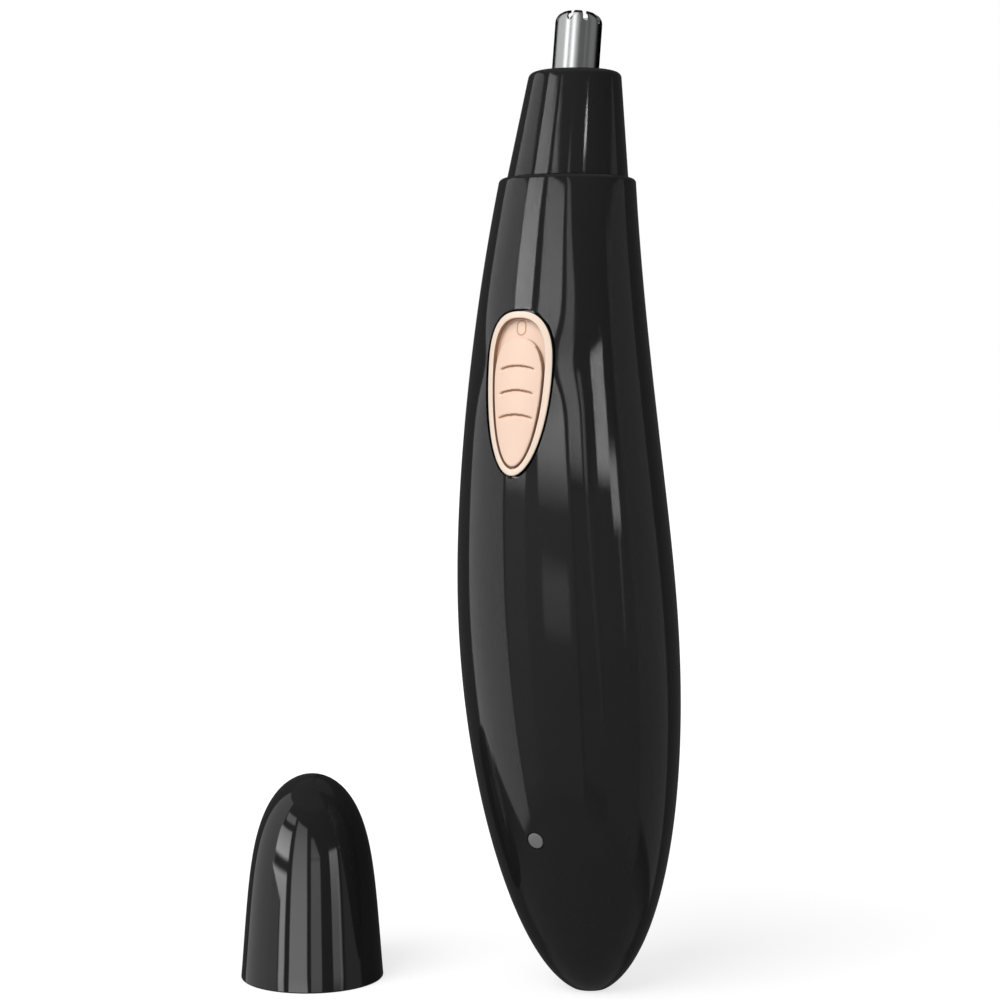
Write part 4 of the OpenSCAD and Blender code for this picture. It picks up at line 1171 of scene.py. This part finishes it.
def aim(piece, centre, azimuth, elevation, distance):
    """Puts a camera or lamp at an azimuth, elevation and distance from a point that it looks at."""
    flat = distance * math.cos(elevation)
    away = Vector((flat * math.sin(azimuth), -flat * math.cos(azimuth), distance * math.sin(elevation)))
    turn = (-away).to_track_quat("-Z", "Y").to_matrix().to_4x4()
    piece.matrix_world = Matrix.Translation(Vector(centre) + away) @ turn


class TRIMMER_OT_stage(bpy.types.Operator):
    """Sets up the camera, the white room, the floor, the reflection tents and the lamps"""
    bl_idname = "trimmer.stage"
    bl_label = "Stage"

    def execute(self, context):
        scene, stage = context.scene, context.scene.trimmer_stage
        scene.view_settings.view_transform = "Standard"
        scene.camera = object_of("camera", bpy.data.cameras.new("camera"))
        scene.camera.data.angle = stage.field
        scene.camera.data.clip_start = 10 * MM
        aim(scene.camera, stage.target, stage.azimuth, stage.elevation, stage.distance)
        self.room(scene, stage)
        self.floor(tip_z(scene.trimmer_body))
        cap, collar, *steel = [scene.objects[name] for name in (
            "cap_skin", "head_collar_skin", "cutter_tube_skin", "cutter_blades")]
        self.tent("body_tent", stage, BODY_PANELS, [cap] + steel, "EXCLUDE", radius=1.6, clear=0.0)
        self.tent("collar_tent", stage, COLLAR_PANELS, [collar], "INCLUDE", radius=1.55)
        self.tent("cap_tent", stage, CAP_PANELS, [cap], "INCLUDE", radius=1.5)
        self.tent("steel_tent", stage, STEEL_PANELS, steel, "INCLUDE", radius=1.4)
        self.softbox("key_softbox", stage, stage.key, azimuth=-38, elevation=42, distance=0.75, size=0.55)
        self.softbox("fill_softbox", stage, stage.fill, azimuth=52, elevation=30, distance=0.8, size=0.6)
        return {"FINISHED"}

    @staticmethod
    def room(scene, stage):
        """White room for what sees it directly, even light for the rest."""
        scene.world = bpy.data.worlds.new("white_room")
        scene.world.use_nodes = True
        tree = scene.world.node_tree
        background = tree.nodes["Background"].inputs
        seen = ray_switch(tree, "Is Camera Ray", "Is Glossy Ray", "Is Transmission Ray")
        feed(tree, background["Color"], (1, 1, 1, 1))
        feed(tree, background["Strength"], maths(tree, "MULTIPLY_ADD", seen, 1.0 - stage.room, stage.room))

    @staticmethod
    def floor(height):
        """Pale floor that shows as white to the camera and keeps a soft shadow."""
        half, near, far, near_glow, grey = 4.0, 0.06, 0.3, 0.72, 0.42
        corners = [(-half, -half, height), (half, -half, height), (half, half, height), (-half, half, height)]
        floor, tree = stage_object("floor", mesh_of("floor", corners, [(0, 1, 2, 3)]), "pale_floor")
        floor.visible_glossy = False
        vector = add_node(tree, "ShaderNodeTexCoord")["Object"]
        reach = add_node(tree, "ShaderNodeVectorMath", {0: vector}, operation="LENGTH")["Value"]
        seen = ray_switch(tree, "Is Camera Ray", "Is Transmission Ray")
        matte = add_node(tree, "ShaderNodeBsdfDiffuse", {"Color": (grey, grey, grey, 1)})["BSDF"]
        glow_over(tree, maths(tree, "MULTIPLY", seen, map_range(tree, reach, near, far, near_glow)), matte)

    @staticmethod
    def tent(name, stage, panels, pieces, linking, radius, clear=1.0):
        """Tent with lit panels that only gloss reflects, for some pieces alone or for all but those."""
        mesh = bpy.data.meshes.new(name)
        with edited(mesh) as bm:
            bmesh.ops.create_uvsphere(bm, u_segments=96, v_segments=48, radius=radius)
        tent, tree = stage_object(name, mesh, name + "_panels")
        vector = add_node(tree, "ShaderNodeTexCoord")["Object"]
        x, y, z = add_node(tree, "ShaderNodeSeparateXYZ", {"Vector": vector})
        azimuth = maths(tree, "ARCTAN2", x, maths(tree, "MULTIPLY", y, -1.0))
        from_camera = maths(tree, "SUBTRACT", azimuth, stage.azimuth)
        share = maths(tree, "FRACT", maths(tree, "MULTIPLY_ADD", from_camera, 0.5 / math.pi, 1.5))
        angle = maths(tree, "MULTIPLY_ADD", share, 360.0, -180.0)
        flat = maths(tree, "SQRT", maths(tree, "MULTIPLY_ADD", x, x, maths(tree, "MULTIPLY", y, y)))
        rise = maths(tree, "DEGREES", maths(tree, "ARCTAN2", z, flat))
        total = 0.0
        for _, *values in panels:
            inputs = {"Angle": angle, "Rise": rise, **dict(zip(PANEL_INPUTS, values))}
            total = maths(tree, "MAXIMUM", total, placed_group(tree, "Lit Panel", inputs)["Level"])
        film = add_node(tree, "ShaderNodeBsdfTransparent", {"Color": (clear, clear, clear, 1)})["BSDF"]
        glow_over(tree, total, film)
        tent.active_material.cycles.emission_sampling = "NONE"
        receivers = bpy.data.collections.new(name + "_receivers")
        for piece in pieces:
            receivers.objects.link(piece)
        for receiver in receivers.collection_objects:
            receiver.light_linking.link_state = linking
        tent.light_linking.receiver_collection = receivers
        for flag in ("camera", "diffuse", "transmission", "volume_scatter", "shadow"):
            setattr(tent, "visible_" + flag, False)

    @staticmethod
    def softbox(name, stage, power, azimuth, elevation, distance, size):
        """A square softbox, with its azimuth from the camera's and its elevation in degrees."""
        lamp = object_of(name, bpy.data.lights.new(name, "AREA"))
        lamp.data.shape = "SQUARE"
        lamp.data.size = size
        lamp.data.energy = power
        aim(lamp, (0, 0, 10 * MM), stage.azimuth + math.radians(azimuth), math.radians(elevation), distance)
        lamp.visible_camera = False
        lamp.visible_glossy = False


class TRIMMER_PT_panel(bpy.types.Panel):
    """Lists the trimmer's operators and sizes"""
    bl_idname = "TRIMMER_PT_panel"
    bl_label = "Nose Hair Trimmer"
    bl_space_type = "VIEW_3D"
    bl_region_type = "UI"
    bl_category = "Trimmer"

    def draw(self, context):
        for group in GROUPS:
            values = getattr(context.scene, group)
            column = self.layout.column(heading=group.split("_")[1].title())
            for name in values.bl_rna.properties.keys():
                if name not in ("rna_type", "name"):
                    column.prop(values, name)
        for operator in OPERATORS:
            self.layout.operator(operator.bl_idname)


GROUPS = {"trimmer_body": TrimmerBody, "trimmer_head": TrimmerHead, "trimmer_switch": TrimmerSwitch,
          "trimmer_cap": TrimmerCap, "trimmer_finish": TrimmerFinish, "trimmer_stage": TrimmerStage}
OPERATORS = (TRIMMER_OT_inner_parts, TRIMMER_OT_shells, TRIMMER_OT_collar, TRIMMER_OT_cutter,
             TRIMMER_OT_switch, TRIMMER_OT_light, TRIMMER_OT_cap, TRIMMER_OT_stage)


def register():
    """Registers the property groups, operators and panel."""
    for name, group in GROUPS.items():
        bpy.utils.register_class(group)
        setattr(bpy.types.Scene, name, PointerProperty(type=group))
    for operator in OPERATORS:
        bpy.utils.register_class(operator)
    bpy.utils.register_class(TRIMMER_PT_panel)


def unregister():
    """Removes what register added."""
    bpy.utils.unregister_class(TRIMMER_PT_panel)
    for operator in reversed(OPERATORS):
        bpy.utils.unregister_class(operator)
    for name, group in reversed(GROUPS.items()):
        delattr(bpy.types.Scene, name)
        bpy.utils.unregister_class(group)


def main():
    """Builds every piece in order."""
    register()
    make_materials(bpy.context.scene.trimmer_finish)
    level_loft_tree()
    ring_tree()
    lit_panel_tree()
    bpy.ops.trimmer.inner_parts()
    bpy.ops.trimmer.shells()
    bpy.ops.trimmer.collar()
    bpy.ops.trimmer.cutter()
    bpy.ops.trimmer.switch()
    bpy.ops.trimmer.light()
    bpy.ops.trimmer.cap()
    bpy.ops.trimmer.stage()


if __name__ == "__main__":
    main()
